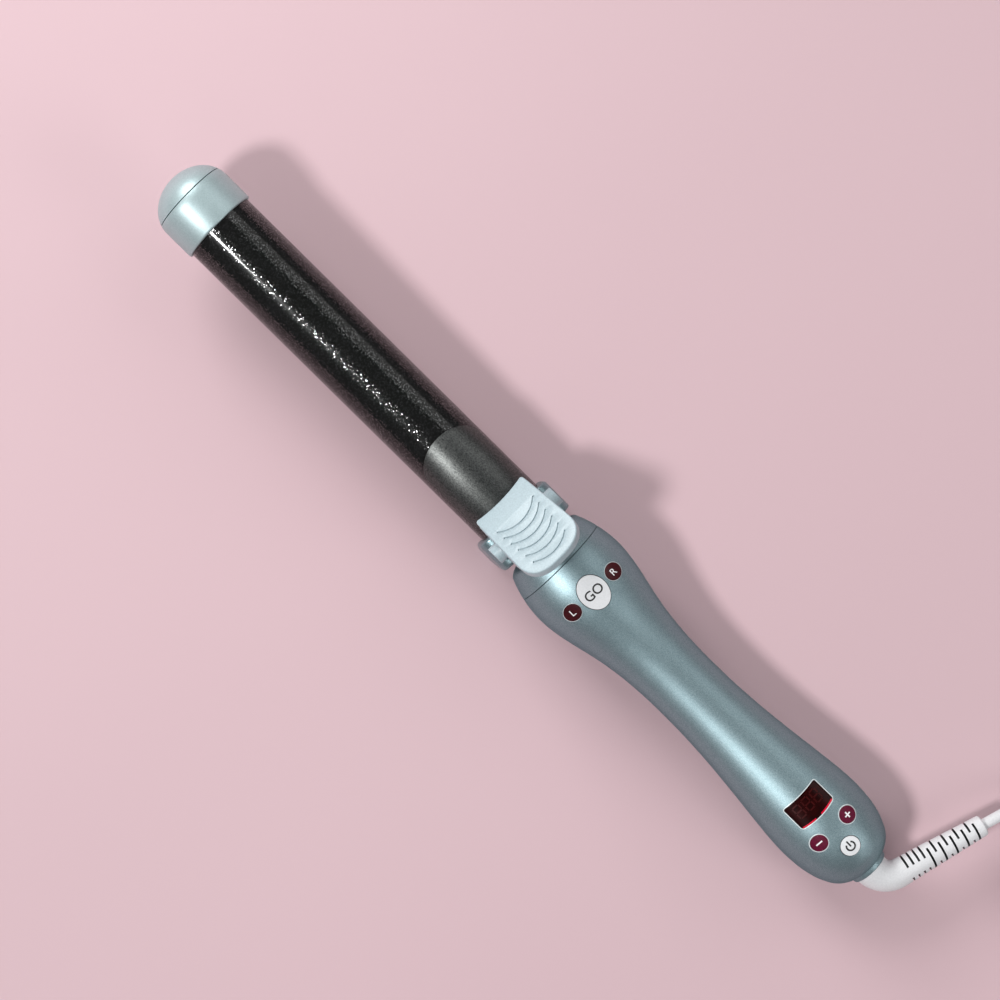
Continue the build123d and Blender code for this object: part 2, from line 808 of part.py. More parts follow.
def shell_half(way):
    """Half of the handle's shell, above (1) or below (-1) its parting plane, with its inner posts."""
    with BuildPart() as inside:
        low, high = sorted((0.0, 60.0 * way))
        add(block(rear_rib, rear_rib + rib_width, 40, low, high))
        add(block(swivel_rib, swivel_rib + rib_width, 40, low, high))
        if way > 0:
            add(block(window_rib, window_rib + rib_width, 40, low, high))
            add(block(rear_rib - 60, rear_rib + 300, 40, board_height, 60), mode=Mode.SUBTRACT)
            add(block(window_rib - 1, window_rib + rib_width + 1, 9.0, -1, board_height),
                mode=Mode.SUBTRACT)
        else:
            for rib in waist_ribs:
                add(block(rib, rib + rib_width, 40, low, power_height))
        for distance, offset in post_places:
            add(stud(distance, offset, post_radius, low, high))
        add(tube(rear_rib - 1, rear_rib + rib_width + 1, shaft_end_radius + bearing_wall),
            mode=Mode.SUBTRACT)
        add(tube(swivel_rib - 1, swivel_rib + rib_width + 1, root_radius), mode=Mode.SUBTRACT)
        add(handle_form(shell_wall - 0.3), mode=Mode.INTERSECT)
    with BuildPart() as half:
        add(outer_form)
        add(inner_form, mode=Mode.SUBTRACT)
        split(bisect_by=station(seam + seam_gap / 2), keep=Keep.TOP)
        split(bisect_by=level(0), keep=Keep.TOP if way > 0 else Keep.BOTTOM)
        add(inside.part)
        add(tube(handle_end - 5, far_end, swivel_radius), mode=Mode.SUBTRACT)
    return half.part


def opening(distance, offset, length, width, corner=None):
    """Upright cutter for a control: an ellipse, or a rounded rectangle where a corner is given."""
    with BuildPart() as cutter:
        with BuildSketch(level(0)):
            with Locations((distance, offset)):
                if corner is None:
                    Ellipse(length / 2, width / 2)
                else:
                    RectangleRounded(length, width, corner)
        extrude(amount=40)
    return cutter.part


buttons = {
    "go_button": (front_at, 0, go_length, go_width),
    "left_button": (front_at, -side_button_offset, side_button_diameter, side_button_diameter),
    "right_button": (front_at, side_button_offset, side_button_diameter, side_button_diameter),
    "minus_button": (sign_at, -sign_button_offset, sign_button_diameter, sign_button_diameter),
    "plus_button": (sign_at, sign_button_offset, sign_button_diameter, sign_button_diameter),
    "power_button": (power_at, 0, power_diameter, power_diameter),
}

with BuildPart() as upper_shell:
    add(shell_half(1))
    for distance, offset, length, width in buttons.values():
        add(opening(distance, offset, length + 2 * button_gap, width + 2 * button_gap),
            mode=Mode.SUBTRACT)
    add(opening(window_at, 0, window_length, window_width, window_corner), mode=Mode.SUBTRACT)
    for distance, offset in post_places:
        add(stud(distance, offset, screw_radius, -1, screw_depth + 0.5), mode=Mode.SUBTRACT)
finish(upper_shell, "upper_shell")

with BuildPart() as lower_shell:
    add(shell_half(-1))
    for distance, offset in post_places:
        add(stud(distance, offset, screw_radius + 0.1, -40, 1), mode=Mode.SUBTRACT)
        add(stud(distance, offset, screw_head_radius + 0.1, -40, -screw_depth), mode=Mode.SUBTRACT)
finish(lower_shell, "lower_shell")

with BuildPart() as shell_screws:
    for distance, offset in post_places:
        add(stud(distance, offset, screw_radius, -screw_depth, screw_depth))
        add(stud(distance, offset, screw_head_radius, -screw_depth - screw_head_height, -screw_depth))
finish(shell_screws, "shell_screws")

# Buttons: caps through the shell with a lip under it and a stem over each switch
stem_end = board_height + board_thickness + switch_height + button_travel + 0.05
for name, (distance, offset, length, width) in buttons.items():
    with BuildPart() as under_cap:
        add(opening(distance, offset, length + 2 * button_lip, width + 2 * button_lip))
        add(lip_inner_form, mode=Mode.SUBTRACT)
        add(stud(distance, offset, stem_radius, stem_end, 40))
        add(lip_form, mode=Mode.INTERSECT)
    with BuildPart() as button:
        add(opening(distance, offset, length, width))
        add(proud_form, mode=Mode.INTERSECT)
        add(lip_inner_form, mode=Mode.SUBTRACT)
        add(under_cap.part)
    finish(button, name)

# Display: a dark lens set in the upper shell over a numeral module
with BuildPart() as window_lens:
    add(opening(window_at, 0, window_length, window_width, window_corner))
    add(handle_form(0.15), mode=Mode.INTERSECT)
    add(inner_form, mode=Mode.SUBTRACT)
finish(window_lens, "window_lens")

board_top = board_height + board_thickness
with BuildPart() as display_module:
    with BuildSketch(level(board_top)):
        with Locations((window_at, 0)):
            Rectangle(window_length + 1.2, window_width + 0.6)
    extrude(amount=display_height)
finish(display_module, "display_module")

# Circuit boards and the switches on them
with BuildPart() as front_board:
    with BuildSketch(level(board_height)):
        with BuildLine():
            Polyline(
                (motor_front + 1.0, front_board_half_width),
                (front_at + 7.0, front_board_half_width),
                (rear_rib + rib_width, front_board_half_width - 4.0),
                (rear_rib + rib_width, -front_board_half_width + 4.0),
                (front_at + 7.0, -front_board_half_width),
                (motor_front + 1.0, -front_board_half_width),
                close=True,
            )
        make_face()
    extrude(amount=board_thickness)
finish(front_board, "front_board")

with BuildPart() as rear_board:
    with BuildSketch(level(board_height)):
        with Locations(((window_rib + board_rear_end) / 2, 0)):
            RectangleRounded(board_rear_end - window_rib, 2 * rear_board_half_width, 1.5)
    extrude(amount=board_thickness)
finish(rear_board, "rear_board")


def switches(names):
    """Push switches under the named buttons."""
    with BuildPart() as group:
        for name in names:
            distance, offset, length, width = buttons[name]
            with BuildSketch(level(board_top)):
                with Locations((distance, offset)):
                    Rectangle(switch_size, switch_size)
            extrude(amount=switch_body)
            add(stud(distance, offset, stem_radius, board_top, board_top + switch_height))
    return group


finish(switches(["go_button", "left_button", "right_button"]), "front_switches")
finish(switches(["minus_button", "plus_button", "power_button"]), "rear_switches")

# Power board in the waist, on two ribs of the lower shell
power_top = power_height + board_thickness
with BuildPart() as power_board:
    add(block(power_board_start, power_board_start + power_board_length, power_board_half_width,
              power_height, power_top))
finish(power_board, "power_board")


def on_power_board(share):
    """Station at a share of the power board's length."""
    return power_board_start + share * power_board_length


with BuildPart() as power_parts:
    add(block(on_power_board(0.13), on_power_board(0.36), transformer_half_width, power_top, 7.0))
    add(block(on_power_board(0.84), on_power_board(0.91), heat_sink_half_width, power_top, 6.0))
    for offset in (-capacitor_offset, capacitor_offset):
        add(stud(on_power_board(0.56), offset, capacitor_radius, power_top, 7.5))
finish(power_parts, "power_parts")

# Swivel: a collar held in the tail, and the cord's rotor that turns in it
with BuildPart() as swivel_collar:
    add(tube(flange_front, flange_front + swivel_flange_length, swivel_radius + swivel_flange))
    add(tube(flange_front + swivel_flange_length, far_end, swivel_radius))
    rim = swivel_collar.faces().sort_by(iron_axis)[-1].edges()
    fillet(rim, radius=swivel_rim_round)
    add(tube(flange_front - 1, far_end + 1, swivel_bore), mode=Mode.SUBTRACT)
finish(swivel_collar, "swivel_collar")

rotor_end = far_end + 0.1
with BuildPart() as swivel_rotor:
    add(tube(swivel_rib, rotor_end, swivel_bore - fit_gap))
    add(tube(swivel_rib, flange_front - run_gap, root_radius - run_gap))
finish(swivel_rotor, "swivel_rotor")

with BuildPart() as swivel_contacts:
    add(tube(swivel_rib - 0.6, swivel_rib, 2.6, 1.4))
    add(tube(swivel_rib - 0.6, swivel_rib, 6.0, 4.6))
finish(swivel_contacts, "swivel_contacts")

with BuildPart() as contact_block:
    add(tube(swivel_rib - 6.4, swivel_rib - 0.9, root_radius))
finish(contact_block, "contact_block")

# Strain relief: an elbow that bends to the right and tapers, with staggered flex slots
bend_start = rotor_end + 0.4
with BuildPart() as strain_relief:
    with BuildLine(level(0)) as route:
        root = Line((rotor_end, 0), (bend_start, 0))
        bend = JernArc(start=root @ 1, tangent=root % 1, radius=relief_bend, arc_size=relief_turn)
        run = Line(bend @ 1, (bend @ 1) + (bend % 1) * relief_straight)
    for place, radius in (
        (root ^ 0, root_radius),
        (bend ^ 1, bend_end_radius),
        (run ^ 1, relief_tip_radius),
    ):
        with BuildSketch(Plane(place)):
            Circle(radius)
    sweep(path=route.wire(), multisection=True)
    for index in range(slot_count):
        share = (slot_first + index * slot_pitch) / relief_straight
        centre = run @ share
        outer = bend_end_radius + (relief_tip_radius - bend_end_radius) * share
        across = Vector(0, 0, 1) if index % 2 else (run % share).cross(Vector(0, 0, 1))
        with BuildSketch(Plane(origin=centre, x_dir=across, z_dir=run % share)):
            with Locations((outer, 0), (-outer, 0)):
                Rectangle(2 * slot_depth, 3 * outer)
        extrude(amount=slot_width, mode=Mode.SUBTRACT)
finish(strain_relief, "strain_relief")

# Mains lead: from the strain relief down to the table, then wound in a coil beside the plug
relief_tip = run @ 1
relief_way = run % 1
coil_radii = [
    coil_mean_radius + (index - (coil_turns_across - 1) / 2) * cord_diameter
    for index in range(coil_turns_across)
]
coil_outer = coil_radii[-1]
coil_middle = Vector(coil_centre[0], coil_centre[1], 0)
entry = radians(coil_entry)
coil_start = coil_middle + Vector(coil_outer * cos(entry), coil_outer * sin(entry), cord_diameter * 0.51)
coil_top = cord_diameter * coil_layers
coil_leave = coil_middle + Vector(coil_outer, 0, coil_top - cord_diameter / 2)
relief_end = Vector(plug_front[0], plug_front[1] + plug_length + plug_relief_length, plug_front[2])


def lead(points):
    """Round lead along straight runs joined by arcs; prints its bend radii and its length."""
    points = [Vector(point) for point in points]
    bends = []
    for before, corner, after in zip(points, points[1:], points[2:]):
        run_in = corner - before
        run_out = after - corner
        turn = radians(run_in.get_angle(run_out))
        bends.append(0.45 * min(run_in.length, run_out.length) / tan(turn / 2))
    with BuildPart() as cable:
        with BuildLine() as course:
            FilletPolyline(*points, radius=bends)
        with BuildSketch(Plane(origin=points[0], z_dir=points[1] - points[0])):
            Circle(cord_diameter / 2)
        sweep(path=course.wire())
    length = course.wire().length
    section = pi * cord_diameter ** 2 / 4
    print("bends", [round(bend, 1) for bend in bends], "length", round(length, 1),
          "volume over section x length", round(cable.part.volume / (section * length), 4))
    return cable


mains_cord = lead([
    relief_tip,
    relief_tip + relief_way * 16.5,
    (235.6, 77.0, 11.5),
    (248.6, 88.6, 5.6),
    coil_start,
])
finish(mains_cord, "mains_cord")

with BuildPart() as cord_coil:
    with BuildSketch(Plane.XY):
        with Locations(coil_centre):
            Circle(coil_outer + cord_diameter / 2)
            Circle(coil_radii[0] - cord_diameter / 2, mode=Mode.SUBTRACT)
    extrude(amount=coil_top)
finish(cord_coil, "cord_coil")

cord_tail = lead([
    coil_leave,
    (316.4, 58.6, 14.2),
    (317.4, 49.0, 9.8),
    relief_end,
])
finish(cord_tail, "cord_tail")

# Plug: a moulded body with its own relief and two flat blades
plug_face = Plane(origin=plug_front, x_dir=(-1, 0, 0), z_dir=(0, 1, 0))
with BuildPart() as plug_body:
    with BuildSketch(plug_face):
        RectangleRounded(plug_width, plug_height, 4.5)
    with BuildSketch(plug_face.offset(plug_length)):
        RectangleRounded(plug_width * 0.66, plug_height * 0.82, 4.0)
    loft()
    fillet(plug_body.faces().sort_by(Axis.Y)[0].edges(), radius=1.2)
finish(plug_body, "plug_body")

with BuildPart() as plug_relief:
    with BuildSketch(plug_face.offset(plug_length)):
        Circle(plug_relief_width / 2)
    with BuildSketch(plug_face.offset(plug_length + plug_relief_length)):
        Circle(cord_diameter / 2 + 0.9)
    loft()
finish(plug_relief, "plug_relief")

with BuildPart() as plug_blades:
    with BuildSketch(plug_face):
        with GridLocations(blade_spacing, 0, 2, 1):
            Rectangle(blade_thickness, blade_height)
    extrude(amount=-blade_length)
    chamfer(plug_blades.faces().sort_by(Axis.Y)[0].edges(), length=0.5)
    chamfer(plug_blades.faces().sort_by(Axis.Y)[1].edges(), length=0.5)
finish(plug_blades, "plug_blades")
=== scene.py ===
import json
from math import cos, degrees, pi, radians, sin

import bmesh
import bpy
from mathutils import Matrix, Vector


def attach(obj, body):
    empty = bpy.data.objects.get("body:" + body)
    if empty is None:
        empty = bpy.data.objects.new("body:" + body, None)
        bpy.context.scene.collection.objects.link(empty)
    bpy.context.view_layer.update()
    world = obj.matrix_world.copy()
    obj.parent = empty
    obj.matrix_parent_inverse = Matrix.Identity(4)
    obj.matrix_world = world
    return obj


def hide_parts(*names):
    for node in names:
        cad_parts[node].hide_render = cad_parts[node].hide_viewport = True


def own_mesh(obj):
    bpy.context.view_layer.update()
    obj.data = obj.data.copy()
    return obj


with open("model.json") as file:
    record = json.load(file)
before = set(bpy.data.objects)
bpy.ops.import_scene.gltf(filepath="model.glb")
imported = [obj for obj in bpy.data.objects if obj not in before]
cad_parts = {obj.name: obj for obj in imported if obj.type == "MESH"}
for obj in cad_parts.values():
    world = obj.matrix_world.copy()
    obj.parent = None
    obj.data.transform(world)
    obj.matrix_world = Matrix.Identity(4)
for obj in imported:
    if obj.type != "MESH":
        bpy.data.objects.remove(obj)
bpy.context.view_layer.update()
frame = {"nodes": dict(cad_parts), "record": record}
nodes = frame["nodes"]

# The iron's own frame: u along it from the tip, y to its right, b over its axis, in millimetres
lieAngle = radians(3.0)
noseFront = 210.5
farEnd = 404.0
farEndRadius = 8.6
restAt = noseFront + 165.5
restRadius = 20.85
tipHeight = restAt * sin(lieAngle) + restRadius * cos(lieAngle)
tipPlace = -(farEnd * cos(lieAngle) + farEndRadius * sin(lieAngle)) / 2
ironFrame = (
    Matrix.Scale(0.001, 4)
    @ Matrix.Translation((tipPlace, 0, tipHeight))
    @ Matrix.Rotation(lieAngle, 4, "Y")
)


def at(u, y=0.0, b=0.0):
    return ironFrame @ Vector((u, y, b))


# Camera: looks straight down, turned so that the iron lies along the picture's diagonal
# it stands a little aside from the iron, and the picture is shifted back by as much at the iron's height
cameraValues = {"turn": 0.7760, "u": 186.9, "y": 0.85, "aside": 42.0, "height": 1050.8, "lens": 89.4,
                "sensor": 36.0, "ironHeight": 32.0}
camera = bpy.data.objects.new("camera", bpy.data.cameras.new("camera"))
camera.data.lens = cameraValues["lens"]
camera.data.sensor_width = cameraValues["sensor"]
camera.location = at(cameraValues["u"])
camera.location.y = (cameraValues["y"] - cameraValues["aside"]) / 1000
camera.location.z = cameraValues["height"] / 1000
camera.rotation_euler = (0, 0, cameraValues["turn"])
viewDistance = cameraValues["height"] - cameraValues["ironHeight"]
viewShift = cameraValues["aside"] / viewDistance * cameraValues["lens"] / cameraValues["sensor"]
camera.data.shift_x = viewShift * sin(cameraValues["turn"])
camera.data.shift_y = viewShift * cos(cameraValues["turn"])
bpy.context.scene.collection.objects.link(camera)
bpy.context.scene.camera = camera
print("camera set")


# Materials
def newMaterial(name):
    material = bpy.data.materials.new(name)
    material.use_nodes = True
    shader = material.node_tree.nodes["Principled BSDF"]
    return material, material.node_tree.nodes, material.node_tree.links, shader


def objectCoords(nodeSet):
    return nodeSet.new("ShaderNodeTexCoord").outputs["Object"]


def grainNode(nodeSet, links, scale, detail=4.0, stretch=None):
    grain = nodeSet.new("ShaderNodeTexNoise")
    grain.inputs["Scale"].default_value = scale
    grain.inputs["Detail"].default_value = detail
    source = objectCoords(nodeSet)
    if stretch:
        mapping = nodeSet.new("ShaderNodeMapping")
        mapping.inputs["Scale"].default_value = stretch
        mapping.inputs["Rotation"].default_value = (0, -lieAngle, 0)
        links.new(source, mapping.inputs["Vector"])
        source = mapping.outputs["Vector"]
    links.new(source, grain.inputs["Vector"])
    return grain.outputs["Fac"]


def rampNode(nodeSet, links, source, stops):
    ramp = nodeSet.new("ShaderNodeValToRGB")
    elements = ramp.color_ramp.elements
    while len(elements) < len(stops):
        elements.new(0.5)
    for element, (place, colour) in zip(elements, stops):
        element.position = place
        element.color = (*colour, 1)
    links.new(source, ramp.inputs["Fac"])
    return ramp.outputs["Color"]


def bumpNode(nodeSet, links, source, distance):
    bump = nodeSet.new("ShaderNodeBump")
    bump.inputs["Distance"].default_value = distance
    bump.inputs["Strength"].default_value = 1.0
    links.new(source, bump.inputs["Height"])
    return bump.outputs["Normal"]


grainRange = (0.36, 0.64)
roughRange = (0.88, 1.12)


def finishMaterial(name, dark, light, rough, metal=0.0, scale=900.0, bump=0.00001, coat=0.0,
                   coatRough=0.1, stretch=None, specular=0.5, edge=(1, 1, 1)):
    # colour and roughness vary a little through a fine grain
    material, nodeSet, links, shader = newMaterial(name)
    grain = grainNode(nodeSet, links, scale, stretch=stretch)
    colours = rampNode(nodeSet, links, grain, list(zip(grainRange, (dark, light))))
    links.new(colours, shader.inputs["Base Color"])
    roughness = nodeSet.new("ShaderNodeMapRange")
    roughness.inputs["To Min"].default_value = rough * roughRange[0]
    roughness.inputs["To Max"].default_value = rough * roughRange[1]
    links.new(grain, roughness.inputs["Value"])
    links.new(roughness.outputs["Result"], shader.inputs["Roughness"])
    links.new(bumpNode(nodeSet, links, grain, bump), shader.inputs["Normal"])
    shader.inputs["Metallic"].default_value = metal
    shader.inputs["Coat Weight"].default_value = coat
    shader.inputs["Coat Roughness"].default_value = coatRough
    shader.inputs["Specular IOR Level"].default_value = specular
    shader.inputs["Specular Tint"].default_value = (*edge, 1)
    return material


coatingValues = {"base": (0.004, 0.004, 0.0036), "rough": 0.26, "specular": 0.06, "gloss": 0.45,
                 "glossRough": 0.07, "flakeScale": 4200, "flakeShare": 0.12, "flakeTilt": 0.2,
                 "flakeRough": 0.16, "flakeColour": (0.16, 0.16, 0.16)}


def flakeMaterial(name, values):
    # dark coating with tiny mirror flakes, each turned its own way, under a clear gloss
    material, nodeSet, links, shader = newMaterial(name)
    cells = nodeSet.new("ShaderNodeTexVoronoi")
    cells.inputs["Scale"].default_value = values["flakeScale"]
    links.new(objectCoords(nodeSet), cells.inputs["Vector"])
    pick = nodeSet.new("ShaderNodeSeparateColor")
    links.new(cells.outputs["Color"], pick.inputs["Color"])
    isFlake = nodeSet.new("ShaderNodeMath")
    isFlake.operation = "LESS_THAN"
    isFlake.inputs[1].default_value = values["flakeShare"]
    links.new(pick.outputs["Blue"], isFlake.inputs[0])
    mix = nodeSet.new("ShaderNodeMix")
    mix.data_type = "RGBA"
    mix.inputs["A"].default_value = (*values["base"], 1)
    mix.inputs["B"].default_value = (*values["flakeColour"], 1)
    links.new(isFlake.outputs[0], mix.inputs["Factor"])
    links.new(mix.outputs["Result"], shader.inputs["Base Color"])
    links.new(isFlake.outputs[0], shader.inputs["Metallic"])
    roughness = nodeSet.new("ShaderNodeMapRange")
    roughness.inputs["To Min"].default_value = values["rough"]
    roughness.inputs["To Max"].default_value = values["flakeRough"]
    links.new(isFlake.outputs[0], roughness.inputs["Value"])
    links.new(roughness.outputs["Result"], shader.inputs["Roughness"])
    spread = nodeSet.new("ShaderNodeVectorMath")
    spread.operation = "MULTIPLY_ADD"
    spread.inputs[1].default_value = [values["flakeTilt"]] * 3
    spread.inputs[2].default_value = [-values["flakeTilt"] / 2] * 3
    links.new(cells.outputs["Color"], spread.inputs[0])
    gate = nodeSet.new("ShaderNodeVectorMath")
    gate.operation = "SCALE"
    links.new(spread.outputs[0], gate.inputs[0])
    links.new(isFlake.outputs[0], gate.inputs["Scale"])
    turned = nodeSet.new("ShaderNodeVectorMath")
    turned.operation = "ADD"
    links.new(nodeSet.new("ShaderNodeNewGeometry").outputs["Normal"], turned.inputs[0])
    links.new(gate.outputs[0], turned.inputs[1])
    straight = nodeSet.new("ShaderNodeVectorMath")
    straight.operation = "NORMALIZE"
    links.new(turned.outputs[0], straight.inputs[0])
    links.new(straight.outputs[0], shader.inputs["Normal"])
    shader.inputs["Coat Weight"].default_value = values["gloss"]
    shader.inputs["Coat Roughness"].default_value = values["glossRough"]
    shader.inputs["Specular IOR Level"].default_value = values["specular"]
    return material


paint = {
    "handle": finishMaterial("handlePaint", (0.22, 0.31, 0.335), (0.36, 0.473, 0.502), 0.46, 0.92, 2900,
                             0.00006, edge=(0.25, 0.3, 0.32)),
    "tip": finishMaterial("tipPlastic", (0.34, 0.44, 0.45), (0.42, 0.52, 0.53), 0.44, 0.5, 2200, 0.00001),
    "lever": finishMaterial("leverPlastic", (0.34, 0.425, 0.455), (0.40, 0.495, 0.53), 0.38, 0.0, 1500,
                            0.000006),
    "hub": finishMaterial("hubPlastic", (0.17, 0.24, 0.26), (0.25, 0.345, 0.37), 0.34, 0.8, 2400, 0.00002),
    "barrel": flakeMaterial("barrelCoating", coatingValues),
    "spoon": finishMaterial("spoonMetal", (0.045, 0.048, 0.047), (0.15, 0.155, 0.15), 0.42, 1.0, 4200,
                            0.00002, stretch=(0.35, 1, 1)),
    "steel": finishMaterial("steel", (0.50, 0.50, 0.51), (0.62, 0.62, 0.63), 0.26, 1.0, 2500, 0.000004),
    "brass": finishMaterial("brass", (0.62, 0.44, 0.18), (0.72, 0.54, 0.26), 0.26, 1.0, 2500, 0.000004),
    "aluminium": finishMaterial("heaterAluminium", (0.56, 0.56, 0.58), (0.68, 0.68, 0.70), 0.45, 1.0, 900),
    "ceramic": finishMaterial("heaterCeramic", (0.74, 0.72, 0.68), (0.82, 0.80, 0.77), 0.55, 0.0, 1200),
    "inner": finishMaterial("innerPlastic", (0.022, 0.022, 0.024), (0.04, 0.04, 0.043), 0.5, 0.0, 1200),
    "gear": finishMaterial("gearPlastic", (0.70, 0.69, 0.64), (0.78, 0.77, 0.73), 0.42, 0.0, 1200),
    "carbon": finishMaterial("brushCarbon", (0.012, 0.012, 0.012), (0.035, 0.035, 0.035), 0.6, 0.0, 3000),
    "motor": finishMaterial("motorMetal", (0.48, 0.48, 0.49), (0.6, 0.6, 0.61), 0.33, 1.0, 1800),
    "board": finishMaterial("circuitBoard", (0.012, 0.075, 0.03), (0.02, 0.105, 0.045), 0.4, 0.0, 700),
    "display": finishMaterial("displayLens", (0.010, 0.0006, 0.0006), (0.020, 0.001, 0.001), 0.2, 0.0, 400,
                              0.000001, specular=0.12),
    "white": finishMaterial("whiteButton", (0.74, 0.75, 0.76), (0.79, 0.80, 0.81), 0.38, 0.0, 1500,
                            0.000004),
    "dark": finishMaterial("darkButton", (0.034, 0.002, 0.004), (0.055, 0.003, 0.006), 0.3, 0.0, 900,
                           0.000002, specular=0.3),
    "crimson": finishMaterial("crimsonButton", (0.085, 0.002, 0.018), (0.12, 0.003, 0.026), 0.3, 0.0, 900,
                              0.000002, specular=0.3),
    # pale rim colour: round the L, R, minus and plus caps it is a painted highlight on the openings' edges
    "rim": finishMaterial("paleRim", (0.66, 0.72, 0.73), (0.74, 0.80, 0.81), 0.3, 0.1, 1500, 0.000004),
    "redEdge": finishMaterial("redLensEdge", (0.55, 0.0, 0.02), (0.70, 0.0, 0.035), 0.25, 0.0, 900,
                              0.000002),
    "mark": finishMaterial("darkMark", (0.006, 0.006, 0.007), (0.012, 0.012, 0.013), 0.5, 0.0, 1500),
    "paleMark": finishMaterial("paleMark", (0.80, 0.80, 0.80), (0.88, 0.88, 0.88), 0.5, 0.0, 1500),
    "redMark": finishMaterial("unlitNumeral", (0.030, 0.002, 0.002), (0.042, 0.003, 0.003), 0.3, 0.0, 900,
                              specular=0.12),
    "cord": finishMaterial("cordRubber", (0.66, 0.66, 0.67), (0.72, 0.72, 0.73), 0.42, 0.0, 1500, 0.000006),
    # seamShade: near-black painted shade, for the gaps round the white caps and deep in the elbow's slots
    "gap": finishMaterial("seamShade", (0.02, 0.025, 0.028), (0.03, 0.035, 0.038), 0.7, 0.0, 1500),
}
print("materials made")


# Mesh helpers: every piece is drawn in the iron's own frame and then carried into place
mergeGap = 0.001


def isVert(part):
    return isinstance(part, bmesh.types.BMVert)


def wholeOf(bm):
    return bm.verts[:] + bm.edges[:] + bm.faces[:]


def closeHoles(bm):
    bmesh.ops.holes_fill(bm, edges=[edge for edge in bm.edges if edge.is_boundary])


def keep(bm, name, material, body, replaced=(), sharpAngle=32.0):
    bmesh.ops.remove_doubles(bm, verts=bm.verts, dist=mergeGap)
    bmesh.ops.recalc_face_normals(bm, faces=bm.faces)
    bm.transform(ironFrame)
    mesh = bpy.data.meshes.new(name)
    bm.to_mesh(mesh)
    bm.free()
    mesh.materials.append(paint[material])
    mesh.polygons.foreach_set("use_smooth", [True] * len(mesh.polygons))
    mesh.set_sharp_from_angle(angle=radians(sharpAngle))
    piece = bpy.data.objects.new(name, mesh)
    bpy.context.scene.collection.objects.link(piece)
    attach(piece, body)
    if replaced:
        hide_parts(*replaced)
    return piece


def drawLine(bm, points, closed=False):
    verts = [bm.verts.new((u, 0.0, r)) for u, r in points]
    edges = [bm.edges.new(pair) for pair in zip(verts, verts[1:])]
    if closed:
        edges.append(bm.edges.new((verts[-1], verts[0])))
    return verts + edges


def turned(points, steps=96, closed=True):
    # round form about the iron's axis from points given as station and radius
    bm = bmesh.new()
    bmesh.ops.spin(bm, geom=drawLine(bm, points, closed), cent=(0, 0, 0), axis=(1, 0, 0),
                   angle=2 * pi, steps=steps, use_merge=True)
    bmesh.ops.remove_doubles(bm, verts=bm.verts, dist=mergeGap)
    return bm


def smoothLine(points, resolution=8):
    # points along a smooth curve through a few points
    curve = bpy.data.curves.new("line", "CURVE")
    curve.dimensions = "3D"
    curve.resolution_u = resolution
    spline = curve.splines.new("BEZIER")
    spline.bezier_points.add(len(points) - 1)
    for knot, point in zip(spline.bezier_points, points):
        knot.co = (*point, 0)
        knot.handle_left_type = knot.handle_right_type = "AUTO"
    drawn = bpy.data.objects.new("line", curve)
    bpy.context.scene.collection.objects.link(drawn)
    mesh = drawn.to_mesh()
    result = [(vert.co.x, vert.co.y) for vert in mesh.vertices]
    bpy.data.objects.remove(drawn)
    bpy.data.curves.remove(curve)
    return result


def prism(outline, low, high, plane="plan"):
    # straight form over an outline: in plan (u, y), across the iron (u, b) or end on (y, b)
    place = {
        "plan": lambda a, c, h: (a, c, h),
        "side": lambda a, c, h: (a, h, c),
        "end": lambda a, c, h: (h, a, c),
    }[plane]
    bm = bmesh.new()
    face = bm.faces.new([bm.verts.new(place(a, c, low)) for a, c in outline])
    raised = bmesh.ops.extrude_face_region(bm, geom=[face])["geom"]
    step = Vector(place(0, 0, high)) - Vector(place(0, 0, low))
    bmesh.ops.translate(bm, vec=step, verts=[part for part in raised if isVert(part)])
    bmesh.ops.recalc_face_normals(bm, faces=bm.faces)
    return bm


def ovalOutline(u, y, length, width, count=64):
    return [(u + length / 2 * cos(2 * pi * i / count), y + width / 2 * sin(2 * pi * i / count))
            for i in range(count)]


def softBox(length, width, corner, count=8, edgeCount=12):
    # rounded rectangle with a few more points along its two long edges
    points = []
    for quarter, (sx, sy) in enumerate(((1, 1), (-1, 1), (-1, -1), (1, -1))):
        for i in range(count + 1):
            turn = pi / 2 * (quarter + i / count)
            points.append((sx * (length / 2 - corner) + corner * cos(turn),
                           sy * (width / 2 - corner) + corner * sin(turn)))
        if quarter in (1, 3):
            reach = width / 2 - corner
            half = edgeCount // 2
            points += [(sx * length / 2, -sy * reach * (i - half) / half) for i in range(1, edgeCount)]
    return points


def cutWith(bm, cutters, operation="DIFFERENCE"):
    # the form with each cutter taken away from it, or kept only where it meets the cutter
    def asObject(form, name):
        mesh = bpy.data.meshes.new(name)
        form.to_mesh(mesh)
        form.free()
        shown = bpy.data.objects.new(name, mesh)
        bpy.context.scene.collection.objects.link(shown)
        return shown

    stock = asObject(bm, "stock")
    tools = [asObject(cutter, "cutter") for cutter in cutters]
    for tool in tools:
        boolean = stock.modifiers.new("cut", "BOOLEAN")
        boolean.operation = operation
        boolean.solver = "EXACT"
        boolean.object = tool
    evaluated = stock.evaluated_get(bpy.context.evaluated_depsgraph_get())
    result = bmesh.new()
    result.from_mesh(evaluated.to_mesh())
    for used in (*tools, stock):
        mesh = used.data
        bpy.data.objects.remove(used)
        bpy.data.meshes.remove(mesh)
    return result


def softenEdges(bm, width, segments=2, angle=40.0):
    edges = [edge for edge in bm.edges if len(edge.link_faces) == 2
             and edge.calc_face_angle(0) > radians(angle)]
    bmesh.ops.bevel(bm, geom=edges, offset=width, offset_type="OFFSET", segments=segments, profile=0.5,
                    affect="EDGES", clamp_overlap=True, material=-1)
    return bm


